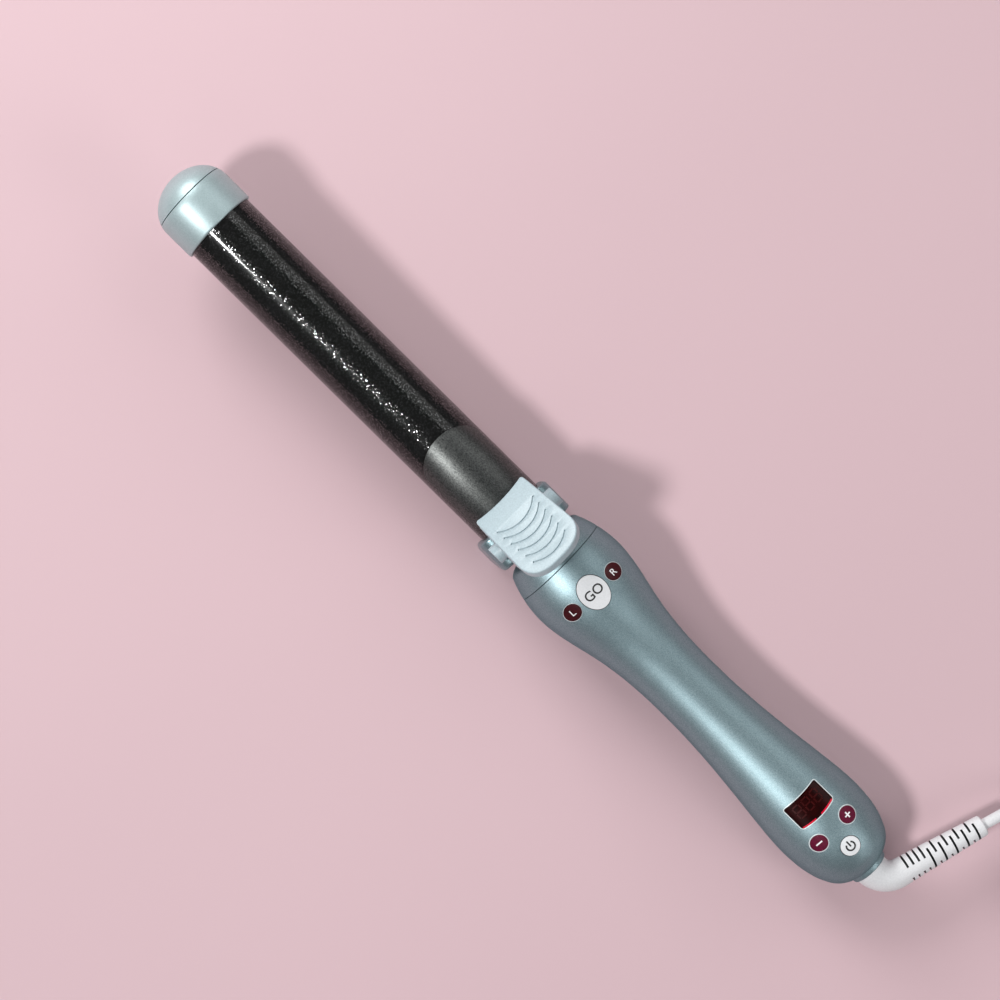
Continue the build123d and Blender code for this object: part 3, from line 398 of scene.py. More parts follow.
def fromNode(name, dissolve=0.6):
    # the merged form of a solid, in the iron's own frame
    bm = bmesh.new()
    bm.from_mesh(nodes[name].data)
    bm.transform(ironFrame.inverted() @ nodes[name].matrix_world)
    bmesh.ops.remove_doubles(bm, verts=bm.verts, dist=2 * mergeGap)
    bmesh.ops.dissolve_limit(bm, angle_limit=radians(dissolve), verts=bm.verts, edges=bm.edges)
    bmesh.ops.recalc_face_normals(bm, faces=bm.faces)
    return bm


# Cool tip: dome and band with a fine groove between them
tipValues = {"domeLength": 14.0, "radius": 17.1, "length": 27.5, "seam": 10.45, "gap": 0.3, "bore": 15.9,
             "lipBore": 13.9, "domeBore": 12.0, "chamfer": 0.12, "chamferSink": 0.15, "rimRound": 0.9}
domeEnd = tipValues["seam"] - tipValues["gap"] / 2
bandStart = tipValues["seam"] + tipValues["gap"] / 2


def domeRadius(u):
    share = (tipValues["domeLength"] - u) / tipValues["domeLength"]
    return tipValues["radius"] * (1 - share * share) ** 0.5


domeLine = [(tipValues["domeLength"] * (1 - cos(angle)), tipValues["radius"] * sin(angle))
            for angle in [radians(step * 2.5) for step in range(0, 31)]]
chamfer, chamferSink = tipValues["chamfer"], tipValues["chamferSink"]
domeLine = [point for point in domeLine if point[0] < domeEnd - 0.2]
domeLine += [(domeEnd - chamfer, domeRadius(domeEnd - chamfer)), (domeEnd, domeRadius(domeEnd) - chamferSink),
             (domeEnd, tipValues["domeBore"]), (domeEnd - 3, 0.0)]
keep(turned(domeLine, 128), "domeOfTip", "tip", "barrel", ["cool_tip_dome"])
bandEnd, bandRadius, bandBore = tipValues["length"], tipValues["radius"], tipValues["bore"]
bandLine = [(bandStart, tipValues["lipBore"]), (bandStart, domeRadius(bandStart) - chamferSink),
            (bandStart + chamfer, domeRadius(bandStart + chamfer))]
bandLine += [(u, domeRadius(u)) for u in (11.2, 12.0, 13.0, tipValues["domeLength"])]
bandLine += [(20.0, bandRadius), (bandEnd - tipValues["rimRound"], bandRadius),
             (bandEnd - 0.4, bandRadius - 0.1), (bandEnd - 0.1, bandRadius - 0.35),
             (bandEnd, bandRadius - 0.7), (bandEnd, bandBore),
             (tipValues["domeLength"], bandBore), (tipValues["domeLength"], tipValues["lipBore"])]
keep(turned(bandLine, 128), "bandOfTip", "tip", "barrel", ["cool_tip_band"])

# Barrel
barrelValues = {"start": 14.0, "end": 204.99, "radius": 15.875, "bore": 14.9}
barrelStart, barrelEnd = barrelValues["start"], barrelValues["end"]
barrelLine = [(u, barrelValues["radius"]) for u in (barrelStart, 80.0, 150.0, barrelEnd)]
barrelLine += [(barrelEnd, barrelValues["bore"]), (barrelStart, barrelValues["bore"])]
keep(turned(barrelLine, 160), "coatedBarrel", "barrel", "barrel", ["barrel_tube"])
print("barrel and tip made")

# Spoon: thin curved plate with a rounded nose, narrowing to its strap
spoonValues = {"front": 150.5, "nose": 10.0, "half": 14.4, "flank": 187.0, "strap": 7.0, "end": 195.7,
               "under": 16.175, "wall": 0.8}


def spoonOutline():
    front, nose, half = spoonValues["front"], spoonValues["nose"], spoonValues["half"]
    right = [(front + nose - nose * cos(angle), half * sin(angle))
             for angle in [radians(step * 4.5) for step in range(0, 21)]]
    right += [(spoonValues["flank"], half), (190.0, 12.2), (192.2, 8.4), (193.4, 7.1),
              (spoonValues["end"], spoonValues["strap"])]
    return right + [(u, -y) for u, y in reversed(right[1:])]


spoonStations = (149.0, 170.0, 196.5)
spoonUnder = [(u, spoonValues["under"]) for u in spoonStations]
spoonOver = [(u, spoonValues["under"] + spoonValues["wall"]) for u in reversed(spoonStations)]
spoonPlate = cutWith(turned(spoonUnder + spoonOver, 192), [prism(spoonOutline(), 0.5, 30)], "INTERSECT")
softenEdges(spoonPlate, 0.22, 2, 50)
keep(spoonPlate, "spoonPlate", "spoon", "clamp", ["clamp_spoon"], 28)


# Lever: a grooved thumb plate laid on its slope, over skirts and knuckles
leverValues = {"front": 185.5, "length": 40.75, "slope": radians(38.5), "height": 17.9, "thick": 4.0,
               "rise": 1.0, "frontHalf": 13.3, "rearHalf": 14.4, "round": 10.5,
               "topRound": 1.25, "lowRound": 0.5, "grooves": 6, "first": 16.0, "pitch": 4.2, "bow": 13.5,
               "grooveRadius": 0.45, "grooveSink": 0.25, "grooveSpread": 50, "spreadStep": 1.6,
               "strips": 19, "stripLength": 2.04,
               "skirtStart": 1.6, "skirtAt": 20.0, "skirtTop": -1.6}


def leverOutline():
    # the plate seen flat: length along the slope, then width
    long, frontHalf, rearHalf = leverValues["length"], leverValues["frontHalf"], leverValues["rearHalf"]
    turn = long - leverValues["round"]
    right = [(0.75 - 1.55 * (i / 8) ** 2, frontHalf * i / 8) for i in range(8)]
    right += [(-0.62, frontHalf - 1.35), (-0.45, frontHalf - 0.75), (-0.1, frontHalf - 0.3),
              (0.4, frontHalf - 0.08), (1.1, frontHalf)]
    right += [(turn * i / 5, frontHalf + (rearHalf - frontHalf) * i / 5) for i in range(1, 5)]
    for i in range(0, 17):
        angle = pi / 2 * i / 16
        right.append((turn + leverValues["round"] * sin(angle) ** 0.86, rearHalf * cos(angle) ** 0.72))
    return right + [(a, -c) for a, c in reversed(right[1:-1])]


plate = prism(leverOutline(), -leverValues["thick"], 0.0)
topEdges = [edge for edge in plate.edges if all(abs(vert.co.z) < mergeGap for vert in edge.verts)]
lowEdges = [edge for edge in plate.edges if all(vert.co.z < -mergeGap for vert in edge.verts)]
for edges, width, steps in ((topEdges, leverValues["topRound"], 6), (lowEdges, leverValues["lowRound"], 3)):
    bmesh.ops.bevel(plate, geom=[edge for edge in edges if edge.is_valid], offset=width, segments=steps,
                    profile=0.5, affect="EDGES", clamp_overlap=True, material=-1)
grooveCutters = []
for index in range(leverValues["grooves"]):
    crest = leverValues["first"] + index * leverValues["pitch"]
    spread = radians(leverValues["grooveSpread"] - leverValues["spreadStep"] * index)
    cutter = bmesh.new()
    centre = Vector((crest - leverValues["bow"], 0, 0))
    bmesh.ops.create_circle(cutter, cap_ends=True, segments=16, radius=leverValues["grooveRadius"],
                            matrix=Matrix.Translation((crest, 0, -leverValues["grooveSink"]))
                            @ Matrix.Rotation(pi / 2, 4, "X"))
    bmesh.ops.rotate(cutter, cent=centre, matrix=Matrix.Rotation(-spread, 3, "Z"), verts=cutter.verts)
    bmesh.ops.spin(cutter, geom=cutter.faces[:] + cutter.edges[:] + cutter.verts[:], cent=centre,
                   axis=(0, 0, 1), angle=2 * spread, steps=36)
    bmesh.ops.recalc_face_normals(cutter, faces=cutter.faces)
    grooveCutters.append(cutter)
plate = cutWith(plate, grooveCutters)
softenEdges(plate, 0.1, 2, 35)
for step in range(leverValues["strips"]):
    stripEnd = (step + 1) * leverValues["stripLength"]
    bmesh.ops.bisect_plane(plate, geom=wholeOf(plate), plane_co=(stripEnd, 0, 0), plane_no=(1, 0, 0))
for vert in plate.verts:
    share = min(max(vert.co.x / leverValues["length"], 0), 1)
    vert.co.z += leverValues["rise"] * 4 * share * (1 - share)
leverFrame = (
    Matrix.Translation((leverValues["front"], 0, leverValues["height"]))
    @ Matrix.Rotation(-leverValues["slope"], 4, "Y")
)
plate.transform(leverFrame)
keep(plate, "thumbPlate", "lever", "clamp", ["clamp_lever"], 30)

skirts = fromNode("clamp_lever")
skirtTop = (leverValues["skirtAt"], 0, leverValues["skirtTop"])
skirtFront = (leverValues["skirtStart"], 0, 0)
for place, outward in ((skirtTop, (0, 0, 1)), (skirtFront, (-1, 0, 0))):
    bmesh.ops.bisect_plane(skirts, geom=wholeOf(skirts), plane_co=leverFrame @ Vector(place),
                           plane_no=leverFrame.to_3x3() @ Vector(outward), clear_outer=True)
    closeHoles(skirts)
softenEdges(skirts, 0.35, 3, 45)
keep(skirts, "leverSkirts", "lever", "clamp", (), 30)

# Clamp spring: the coil on its seat, with a mesh of its own
springWire = keep(fromNode("clamp_spring", 0.1), "springWire", "steel", "barrel", ["clamp_spring"], 40)
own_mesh(springWire)

# Hub with its lugs and stand feet
hub = fromNode("hub_bracket")
softenEdges(hub, 0.4, 3, 40)
keep(hub, "hubSaddle", "hub", "barrel", ["hub_bracket"], 30)
print("clamp and hub made")

# Handle: nose ring and two shells turned from one smooth line, with openings for the controls
handleLine = [(2.9, 18.35), (7.1, 19.97), (12.0, 21.35), (18.0, 22.4), (24.4, 22.7), (33.0, 21.8),
              (41.0, 20.15), (49.0, 18.35), (57.5, 16.8), (70.0, 15.45), (90.0, 15.0), (109.0, 15.75),
              (127.5, 17.45), (147.0, 19.7), (157.0, 20.65), (165.5, 20.85), (176.3, 19.58), (183.0, 17.3),
              (187.3, 14.7), (190.3, 11.0), (191.3, 8.8)]
handleCurve = [(noseFront + u, r) for u, r in smoothLine(handleLine, 10)]
seamAt = noseFront + 12.0
seamHalf = 0.08
seamValues = {"clear": 0.2, "chamfer": 0.12, "sink": 0.15}
shellValues = {"wall": 2.2, "tailAt": 186, "tailShift": 1.5, "tailBore": 9.5, "tailPoints": 8,
               "sideGap": radians(0.3), "steps": 110}


def curveRadius(u):
    for (u0, r0), (u1, r1) in zip(handleCurve, handleCurve[1:]):
        if u0 <= u <= u1:
            return r0 + (r1 - r0) * (u - u0) / max(u1 - u0, 1e-9)
    return handleCurve[-1][1]


seamFront, seamRear = seamAt - seamHalf, seamAt + seamHalf
seamRadius = curveRadius(seamAt) - seamValues["sink"]
noseOuter = [point for point in handleCurve if point[0] < seamFront - seamValues["clear"]]
noseLine = [(noseFront, 12.0), (noseFront, 13.2), (noseFront + 0.25, 13.9), (noseFront + 1.2, 16.2),
            (noseFront + 2.2, 17.7)] + noseOuter
noseLine += [(seamFront - seamValues["chamfer"], curveRadius(seamFront - seamValues["chamfer"])),
             (seamFront, seamRadius), (seamFront, 18.9),
             (seamAt + 3.9, 18.9), (seamAt + 3.9, 17.4), (noseFront + 9.0, 17.4), (noseFront + 9.0, 10.5),
             (noseFront + 3.2, 10.5), (noseFront + 3.2, 12.0)]
keep(turned(noseLine, 160), "noseRing", "handle", "handle", ["nose_ring"], 35)

shellOuter = [point for point in handleCurve if point[0] > seamRear + seamValues["clear"]]
shellSection = [(seamRear, 19.15), (seamRear, seamRadius),
                (seamRear + seamValues["chamfer"], curveRadius(seamRear + seamValues["chamfer"]))]
shellSection += shellOuter
shellSection += [(u - shellValues["tailShift"] * (u > noseFront + shellValues["tailAt"]),
                  r - shellValues["wall"])
                 for u, r in reversed(shellOuter[:-shellValues["tailPoints"]]) if r > shellValues["tailBore"]]
frontAt, sideOffset, signAt, signOffset, powerAt = 28.3, 11.7, 166.2, 8.2, 176.1
controls = {
    "go_button": (noseFront + frontAt, 0.0, 15.3, 12.5),
    "left_button": (noseFront + frontAt, -sideOffset, 7.2, 7.2),
    "right_button": (noseFront + frontAt, sideOffset, 7.2, 7.2),
    "minus_button": (noseFront + signAt, -signOffset, 7.1, 7.1),
    "plus_button": (noseFront + signAt, signOffset, 7.1, 7.1),
    "power_button": (noseFront + powerAt, 0.0, 8.3, 8.3),
}
windowValues = {"at": noseFront + 152.3, "length": 11.4, "width": 17.9, "corner": 1.0,
                "frontBow": 0.35, "rearBow": 0.9, "rim": 0.32, "spare": 0.05, "sink": 0.15, "depth": 2.2}
redValues = {"inset": 0.12, "width": 0.62, "sink": 0.08, "depth": 0.6, "from": 350, "to": 380,
             "parts": ((-8.3, -1.9), (1.0, 8.3))}


def windowOutline(spare):
    # a rounded rectangle whose two long edges bow toward the tail
    half = windowValues["width"] / 2
    outline = []
    for a, c in softBox(windowValues["length"] + 2 * spare, windowValues["width"] + 2 * spare,
                        windowValues["corner"] + spare):
        bow = windowValues["rearBow"] if a > 0 else windowValues["frontBow"]
        outline.append((windowValues["at"] + a + bow * (0.5 - min(abs(c) / half, 1) ** 2), c))
    return outline


def shellForm(flip):
    # half of the handle's skin, spun from its left side to its right; flip -1 gives the lower half
    bm = bmesh.new()
    section = drawLine(bm, shellSection, True)
    cap = bm.faces.new([part for part in section if isVert(part)])
    gap = shellValues["sideGap"]
    bmesh.ops.rotate(bm, cent=(0, 0, 0), verts=bm.verts,
                     matrix=Matrix.Rotation(pi / 2 - flip * gap, 3, "X"))
    bmesh.ops.spin(bm, geom=[cap] + bm.edges[:] + bm.verts[:], cent=(0, 0, 0), axis=(1, 0, 0),
                   angle=-flip * (pi - 2 * gap), steps=shellValues["steps"])
    bmesh.ops.recalc_face_normals(bm, faces=bm.faces)
    return bm


def column(outline, spare=0):
    # stands on the handle's axis and reaches out through its skin
    return prism(outline, 1 - spare, 40 + spare)


rimWidth = {"go_button": 0.3, "power_button": 0.3, "left_button": 0.3, "right_button": 0.3,
            "minus_button": 0.48, "plus_button": 0.48}
openings = [column(ovalOutline(u, y, length + 2 * rimWidth[name], width + 2 * rimWidth[name]))
            for name, (u, y, length, width) in controls.items()]
openings.append(column(windowOutline(windowValues["rim"] + windowValues["spare"])))
upper = cutWith(shellForm(1), openings)
keep(upper, "upperSkin", "handle", "handle", ["upper_shell"], 35)
keep(shellForm(-1), "lowerSkin", "handle", "handle", ["lower_shell"], 35)
print("handle shells made")


# Buttons: caps cut from the handle's own form, a little proud, with a soft rim
buttonValues = {"proud": 0.45, "depth": 3.0, "round": 0.3, "rimProud": 0.16, "shadeRingProud": -0.3,
                "rimDepth": 1.2, "rimSpare": 0.14, "rimInset": 0.06}


def skinForm(proud, depth):
    line = [(u, r + proud) for u, r in shellOuter]
    line += [(u, r - depth) for u, r in reversed(shellOuter)]
    return turned(line, 160)


def skinHeight(u, y, proud):
    return ((curveRadius(u) + proud) ** 2 - y * y) ** 0.5


buttonLooks = {"go_button": "white", "power_button": "white", "left_button": "dark", "right_button": "dark",
               "minus_button": "crimson", "plus_button": "crimson"}
for name, (u, y, length, width) in controls.items():
    cap = cutWith(column(ovalOutline(u, y, length, width)),
                  [skinForm(buttonValues["proud"], buttonValues["depth"])], "INTERSECT")
    softenEdges(cap, buttonValues["round"], 3, 40)
    keep(cap, name.split("_")[0] + "Cap", buttonLooks[name], name.split("_")[0], [name], 30)
lens = cutWith(column(windowOutline(-windowValues["spare"])),
               [skinForm(-windowValues["sink"], windowValues["depth"])], "INTERSECT")
softenEdges(lens, 0.2, 2, 40)
keep(lens, "windowPane", "display", "handle", ["window_lens"], 30)


def rimForm(outer, inner, proud):
    # a thin frame between two outlines that follows the handle's form
    ring = cutWith(column(outer), [column(inner, 1)])
    return cutWith(ring, [skinForm(proud, buttonValues["rimDepth"])], "INTERSECT")


# rims: round the white caps a near-black ring sunk below the skin, painted shade for the gap; round the
# others a pale ring, a painted highlight on the opening's edge
for name, (u, y, length, width) in controls.items():
    white = buttonLooks[name] == "white"
    spare = 2 * rimWidth[name] - buttonValues["rimInset"]
    inside = buttonValues["rimSpare"]
    rim = rimForm(ovalOutline(u, y, length + spare, width + spare),
                  ovalOutline(u, y, length + inside, width + inside),
                  buttonValues["shadeRingProud" if white else "rimProud"])
    softenEdges(rim, 0.08, 2, 40)
    keep(rim, name.split("_")[0] + "Rim", "gap" if white else "rim", "handle", (), 30)
rim = rimForm(windowOutline(windowValues["rim"]), windowOutline(0.0), buttonValues["rimProud"])
softenEdges(rim, 0.1, 2, 40)
keep(rim, "windowRim", "rim", "handle", (), 30)


# Marks: generic words and signs that lie on the caps
def markOnSkin(bm, name, material, body, proud):
    # lays a flat sign, drawn in (u, y), on the handle's form
    for vert in bm.verts:
        vert.co.z += skinHeight(vert.co.x, vert.co.y, proud)
    keep(bm, name, material, body, (), 40)


def textForm(words, size, u, y, thick=0.05, bold=0.0):
    # a word drawn flat, its top toward the tip, read toward the right side
    drawn = bpy.data.curves.new(words, "FONT")
    drawn.body = words
    drawn.size = size
    drawn.align_x = "CENTER"
    drawn.align_y = "CENTER"
    drawn.extrude = thick
    drawn.offset = bold
    drawn.resolution_u = 6
    shown = bpy.data.objects.new(words, drawn)
    bpy.context.scene.collection.objects.link(shown)
    bm = bmesh.new()
    bm.from_mesh(shown.to_mesh())
    bpy.data.objects.remove(shown)
    bpy.data.curves.remove(drawn)
    bmesh.ops.triangulate(bm, faces=bm.faces)
    bmesh.ops.rotate(bm, cent=(0, 0, 0), matrix=Matrix.Rotation(pi / 2, 3, "Z"), verts=bm.verts)
    low = Vector([min(vert.co[axis] for vert in bm.verts) for axis in range(3)])
    high = Vector([max(vert.co[axis] for vert in bm.verts) for axis in range(3)])
    bmesh.ops.translate(bm, verts=bm.verts,
                        vec=Vector((u, y, 0)) - Vector(((low.x + high.x) / 2, (low.y + high.y) / 2, 0)))
    return bm


markProud = 0.47
signWidth, signLow, signHigh = 0.62, -0.04, 0.06
frontPlace, signPlace, powerPlace = noseFront + frontAt, noseFront + signAt, noseFront + powerAt
for words, size, y, bold, name, material, body in (
    ("GO", 5.8, 0, 0.05, "wordGo", "mark", "go"),
    ("L", 4.1, -sideOffset, 0.02, "letterLeft", "paleMark", "left"),
    ("R", 4.1, sideOffset, 0.02, "letterRight", "paleMark", "right"),
):
    markOnSkin(textForm(words, size, frontPlace, y, bold=bold), name, material, body, markProud)


def barForm(u, y, length, width):
    corners = ((-1, -1), (1, -1), (1, 1), (-1, 1))
    return prism([(u + a * length / 2, y + c * width / 2) for a, c in corners], signLow, signHigh)


minusSign = barForm(signPlace, -signOffset, signWidth, 3.0)
markOnSkin(minusSign, "signMinus", "paleMark", "minus", markProud)
plusSign = barForm(signPlace, signOffset, signWidth, 2.8)
plusBar = barForm(signPlace, signOffset, 2.8, signWidth)
plusMesh = bpy.data.meshes.new("bar")
plusBar.to_mesh(plusMesh)
plusBar.free()
plusSign.from_mesh(plusMesh)
markOnSkin(plusSign, "signPlus", "paleMark", "plus", markProud)
powerSign = bmesh.new()
powerValues = {"inner": 1.5, "outer": 2.2, "halfArc": 142, "steps": 40, "bar": (-2.7, 0.2), "barHalf": 0.34,
               "lift": 0.05}


def powerFace(points):
    powerSign.faces.new([powerSign.verts.new((powerPlace + a, c, powerValues["lift"])) for a, c in points])


arcAngles = [radians(powerValues["halfArc"] * (2 * i / powerValues["steps"] - 1))
             for i in range(powerValues["steps"] + 1)]
inner, outer = powerValues["inner"], powerValues["outer"]
for a0, a1 in zip(arcAngles, arcAngles[1:]):
    powerFace([(r * cos(a), r * sin(a)) for r, a in ((inner, a0), (outer, a0), (outer, a1), (inner, a1))])
bmesh.ops.remove_doubles(powerSign, verts=powerSign.verts, dist=mergeGap)
barStart, barEnd = powerValues["bar"]
barHalf = powerValues["barHalf"]
powerFace([(barStart, -barHalf), (barEnd, -barHalf), (barEnd, barHalf), (barStart, barHalf)])
markOnSkin(powerSign, "signPower", "mark", "power", markProud)
print("buttons and signs made")

# Window: three unlit numerals and the red edge of the lens, both just over the pane
digitValues = {"long": 5.4, "wide": 3.1, "stroke": 0.62, "pitch": 4.7, "at": noseFront + 151.3,
               "thick": 0.06, "proud": -0.13}
long, wide, stroke = digitValues["long"], digitValues["wide"], digitValues["stroke"]
numeralBars = [(u, 0, stroke, wide - stroke) for u in (-long / 2, 0, long / 2)]
numeralBars += [(u, y, long / 2 - stroke, stroke)
                for u in (-long / 4, long / 4) for y in (-wide / 2, wide / 2)]
for index in range(3):
    middle = (index - 1) * digitValues["pitch"]
    strokes = bmesh.new()
    for u, y, length, width in numeralBars:
        bmesh.ops.create_cube(strokes, size=1.0, matrix=(
            Matrix.Translation((digitValues["at"] + u, middle + y, 0))
            @ Matrix.Diagonal((length, width, digitValues["thick"], 1))))
    markOnSkin(strokes, "unlitNumeral" + str(index + 1), "redMark", "handle", digitValues["proud"])
redFrom, redTo = redValues["from"], redValues["to"]
for side, (start, end) in enumerate(redValues["parts"]):
    edgeOutline = windowOutline(-redValues["inset"])
    glow = cutWith(column(edgeOutline), [column([(a - redValues["width"], c) for a, c in edgeOutline], 1)])
    span = column([(redTo, start), (redFrom, start), (redFrom, end), (redTo, end)], 1)
    glow = cutWith(glow, [span], "INTERSECT")
    glow = cutWith(glow, [skinForm(-redValues["sink"], redValues["depth"])], "INTERSECT")
    keep(glow, "redEdge" + str(side + 1), "redEdge", "handle", (), 30)
print("window made")

# Swivel collar, then the slotted elbow and the lead
collarLine = [(395.5, 5.6), (395.5, 10.2), (398.0, 10.2), (398.0, 8.6), (403.1, 8.6), (403.7, 8.35),
              (404.0, 7.8), (404.0, 5.6)]
keep(turned(collarLine, 96), "tailCollar", "handle", "handle", ["swivel_collar"], 35)

reliefValues = {"start": 404.1, "straightStart": 0.4, "bend": 10.0, "turn": radians(74), "run": 40.0,
                "root": 7.5, "bendEnd": 6.1, "tip": 4.5, "rings": 60, "endRound": 0.5,
                "rows": 13, "sideRows": 4, "first": 3.4, "pitch": 2.7, "slot": 0.95, "slotDepth": 2.4,
                "topMiddle": 12, "topSpread": 60, "sideMiddle": 102, "sideSpread": 65, "shadeDepth": 0.7}


def reliefPlace(distance):
    # centre, direction and radius of the elbow at a distance from its root, in the iron's frame
    lead, bend, turn = reliefValues["straightStart"], reliefValues["bend"], reliefValues["turn"]
    arc = bend * turn
    start = reliefValues["start"]
    if distance <= lead:
        return Vector((start + distance, 0, 0)), 0.0, reliefValues["root"]
    if distance <= lead + arc:
        angle = (distance - lead) / bend
        centre = Vector((start + lead + bend * sin(angle), bend * (1 - cos(angle)), 0))
        share = (distance - lead) / arc
        root = reliefValues["root"]
        return centre, angle, root + (reliefValues["bendEnd"] - root) * share
    along = distance - lead - arc
    share = along / reliefValues["run"]
    corner = Vector((start + lead + bend * sin(turn), bend * (1 - cos(turn)), 0))
    centre = corner + Vector((cos(turn), sin(turn), 0)) * along
    return centre, turn, reliefValues["bendEnd"] + (reliefValues["tip"] - reliefValues["bendEnd"]) * share


def ringAt(bm, centre, angle, radius, segments=56):
    matrix = Matrix.Translation(centre) @ Matrix.Rotation(angle, 4, "Z") @ Matrix.Rotation(pi / 2, 4, "Y")
    made = bmesh.ops.create_circle(bm, segments=segments, radius=radius, matrix=matrix)
    return made["verts"]


def loftRings(places, segments=56):
    # closed form through a row of rings
    bm = bmesh.new()
    rings = []
    for centre, angle, radius in places:
        verts = ringAt(bm, centre, angle, radius, segments)
        rings.append([edge for edge in bm.edges if all(vert in verts for vert in edge.verts)])
    for first, second in zip(rings, rings[1:]):
        bmesh.ops.bridge_loops(bm, edges=first + second)
    closeHoles(bm)
    bmesh.ops.recalc_face_normals(bm, faces=bm.faces)
    return bm


bendLength = reliefValues["bend"] * reliefValues["turn"]
reliefLength = reliefValues["straightStart"] + bendLength + reliefValues["run"]
ringTotal, endRound = reliefValues["rings"], reliefValues["endRound"]
reliefPlaces = [reliefPlace(reliefLength * i / ringTotal) for i in range(ringTotal + 1)]
lastCentre, lastAngle, lastRadius = reliefPlaces[-1]
direction = Vector((cos(lastAngle), sin(lastAngle), 0))
reliefPlaces[-1] = (lastCentre - direction * endRound, lastAngle, lastRadius)
reliefPlaces.append((lastCentre, lastAngle, lastRadius - endRound))
relief = loftRings(reliefPlaces)
slotCutters = []
runStart = reliefLength - reliefValues["run"]
for row in range(reliefValues["rows"]):
    # the first rows are cut at the sides, then every second row is cut over the top
    rowKind = "top" if row >= reliefValues["sideRows"] and row % 2 == 0 else "side"
    centre, angle, radius = reliefPlace(runStart + reliefValues["first"] + row * reliefValues["pitch"])
    for half in (0, 1):
        cutter = bmesh.new()
        inner, outer, wide = radius - reliefValues["slotDepth"], radius + 1.0, reliefValues["slot"]
        section = [(-wide / 2, inner), (wide / 2, inner), (wide / 2, outer), (-wide / 2, outer)]
        verts = [cutter.verts.new((a, 0.0, c)) for a, c in section]
        face = cutter.faces.new(verts)
        middle = radians(reliefValues[rowKind + "Middle"] + 180 * half)
        spread = radians(reliefValues[rowKind + "Spread"])
        bmesh.ops.rotate(cutter, cent=(0, 0, 0), verts=cutter.verts,
                         matrix=Matrix.Rotation(middle - spread, 3, "X"))
        bmesh.ops.spin(cutter, geom=[face] + cutter.edges[:] + cutter.verts[:], cent=(0, 0, 0),
                       axis=(1, 0, 0), angle=2 * spread, steps=20)
        bmesh.ops.recalc_face_normals(cutter, faces=cutter.faces)
        cutter.transform(Matrix.Translation(centre) @ Matrix.Rotation(angle, 4, "Z"))
        slotCutters.append(cutter)
relief = cutWith(relief, slotCutters)
runRoot = reliefPlace(runStart)[0]
# faces deep inside the slots take the near-black seamShade finish: painted shade in the slots
for face in relief.faces:
    offset = face.calc_center_median() - runRoot
    along = offset.dot(direction)
    inside = reliefPlace(runStart + max(along, 0))[2] - (offset - direction * along).length
    if 0 < along < reliefValues["run"] - 1 and inside > reliefValues["shadeDepth"]:
        face.material_index = 1
elbow = keep(relief, "slottedElbow", "cord", "cord_end", ["strain_relief"], 35)
elbow.data.materials.append(paint["gap"])

# Lead: from the elbow to the table, in a coil, and to its plug
cordValues = {"diameter": 0.0048, "coilCentre": (0.2824, 0.0689), "meanRadius": 0.0288, "across": 3,
              "layers": 4, "entry": radians(122.0), "turnSteps": 24, "climbSteps": 4, "lift": 0.51}
reliefTip = at(lastCentre.x, lastCentre.y, 0)
reliefWay = (at(lastCentre.x + cos(lastAngle), lastCentre.y + sin(lastAngle), 0) - reliefTip).normalized()
cordRadii = [cordValues["meanRadius"] + (i - 1) * cordValues["diameter"]
             for i in range(cordValues["across"])]
centreX, centreY = cordValues["coilCentre"]
outerRadius = cordRadii[-1]
route = [reliefTip, reliefTip + reliefWay * 0.0165, Vector((0.2356, 0.0770, 0.0115)),
         Vector((0.2486, 0.0886, 0.0056))]
stepAngle = 2 * pi / cordValues["turnSteps"]
angle = cordValues["entry"]
layerTurns = cordValues["across"]
# each layer winds inward, then the next one outward, and the last turn leaves on the right-hand side
pathRadii = []
for layer in range(cordValues["layers"]):
    for turn in range(layerTurns):
        place = layerTurns - 1 - turn if layer % 2 == 0 else turn
        pathRadii.append((cordRadii[place], layer))
previous = None
for radius, layer in pathRadii:
    height = cordValues["diameter"] * (layer + cordValues["lift"])
    oldRadius, oldHeight = previous or (radius, height)
    for step in range(cordValues["turnSteps"]):
        blend = min(step / cordValues["climbSteps"], 1.0)
        r = oldRadius + (radius - oldRadius) * blend
        z = oldHeight + (height - oldHeight) * blend
        route.append(Vector((centreX + r * cos(angle), centreY + r * sin(angle), z)))
        angle -= stepAngle
    previous = (radius, height)
while 15 < degrees(angle) % 360 < 359.9:
    route.append(Vector((centreX + outerRadius * cos(angle), centreY + outerRadius * sin(angle), height)))
    angle -= stepAngle
route += [Vector((centreX + outerRadius, centreY, 0.0168)), Vector((0.3164, 0.0586, 0.0142)),
          Vector((0.3174, 0.0490, 0.0098)), Vector((0.3180, 0.0400, 0.0086))]
leadCurve = bpy.data.curves.new("mainsLead", "CURVE")
leadCurve.dimensions = "3D"
leadCurve.bevel_depth = cordValues["diameter"] / 2
leadCurve.bevel_resolution = 5
leadCurve.resolution_u = 3
leadCurve.use_fill_caps = True
spline = leadCurve.splines.new("NURBS")
spline.points.add(len(route) - 1)
for point, place in zip(spline.points, route):
    point.co = (*place, 1)
spline.order_u = 3
spline.use_endpoint_u = True
leadCurve.materials.append(paint["cord"])
lead = bpy.data.objects.new("mainsLead", leadCurve)
bpy.context.scene.collection.objects.link(lead)
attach(lead, "cord_end")
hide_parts("mains_cord", "cord_coil", "cord_tail")
print("lead made")

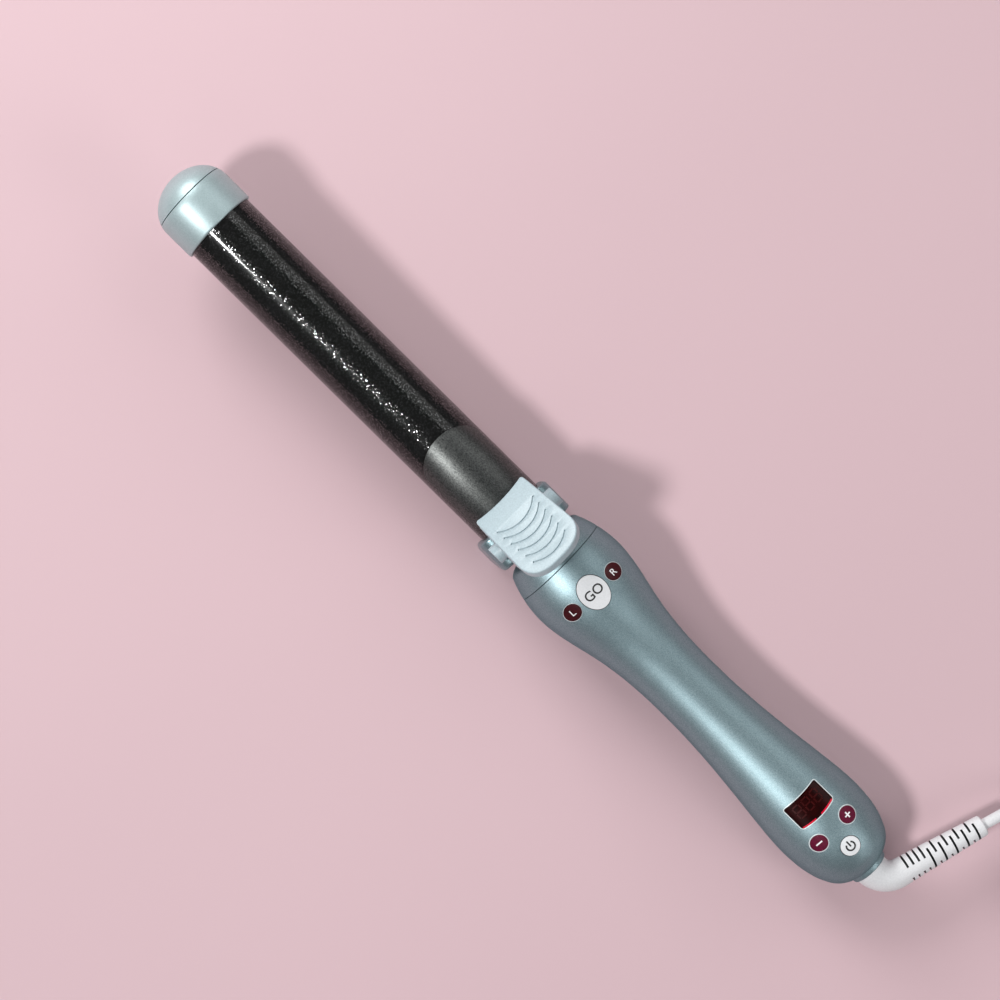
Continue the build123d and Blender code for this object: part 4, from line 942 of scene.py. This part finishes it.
# The pieces that stay as they are take their finish from here
slotPaint = {
    "handle_plastic": "handle", "tip_plastic": "tip", "lever_plastic": "lever", "barrel_coating": "barrel",
    "spoon_metal": "spoon", "steel": "steel", "brass": "brass", "heater_aluminium": "aluminium",
    "heater_ceramic": "ceramic", "inner_plastic": "inner", "gear_plastic": "gear", "carbon": "carbon",
    "motor_metal": "motor", "circuit_board": "board", "display_dark": "display", "white_button": "white",
    "dark_button": "dark", "cord_rubber": "cord",
}
nodeSlots = {entry["node"]: entry["material_slot"] for entry in frame["record"]["subparts"]}
for name, shown in nodes.items():
    shown.data.materials.clear()
    shown.data.materials.append(paint[slotPaint[nodeSlots[name]]])
print("inner pieces painted")

# Table, world and lamps
floorMesh = bpy.data.meshes.new("table")
floorForm = bmesh.new()
bmesh.ops.create_grid(floorForm, x_segments=1, y_segments=1, size=3.0)
floorForm.to_mesh(floorMesh)
floorForm.free()
tableMaterial, tableNodes, tableLinks, tableShader = newMaterial("paleTable")
tableGrain = grainNode(tableNodes, tableLinks, 3.0, 2.0)
tableColours = [(0.3, (0.55, 0.394, 0.422)), (0.7, (0.57, 0.409, 0.437))]
tableLinks.new(rampNode(tableNodes, tableLinks, tableGrain, tableColours), tableShader.inputs["Base Color"])
tableShader.inputs["Roughness"].default_value = 0.95
tableShader.inputs["Specular IOR Level"].default_value = 0.1
floorMesh.materials.append(tableMaterial)
table = bpy.data.objects.new("table", floorMesh)
table.location = (0, 0, -0.0002)
bpy.context.scene.collection.objects.link(table)

world = bpy.data.worlds.new("studio")
bpy.context.scene.world = world
world.use_nodes = True
world.node_tree.nodes["Background"].inputs["Color"].default_value = (0.93, 0.95, 1.0, 1)
world.node_tree.nodes["Background"].inputs["Strength"].default_value = 0.20


def lamp(name, place, target, size, power, shape="SQUARE", sizeY=None):
    light = bpy.data.lights.new(name, "AREA")
    light.shape = shape
    light.size = size
    if sizeY:
        light.size_y = sizeY
    light.energy = power
    made = bpy.data.objects.new(name, light)
    made.location = place
    made.rotation_euler = (Vector(target) - Vector(place)).to_track_quat("-Z", "Y").to_euler()
    bpy.context.scene.collection.objects.link(made)


lamp("keyLamp", (-0.48, -1.50, 2.4), (0, 0, 0), 0.42, 52, "DISK")
lamp("tipSoft", (-1.05, 0.20, 0.75), (-0.15, 0, 0), 0.6, 12.5)
lamp("farSoft", (0.0, 1.45, 1.3), (0, 0, 0.02), 1.4, 5, "RECTANGLE", 1.0)
lamp("tailSoft", (0.6, -0.95, 1.5), (0.1, 0, 0), 0.6, 1.0, "DISK")
lamp("endSoft", (1.25, 0.5, 0.95), (0.1, 0, 0), 0.7, 4, "DISK")
bpy.context.scene.view_settings.view_transform = "Standard"
print("stage set")
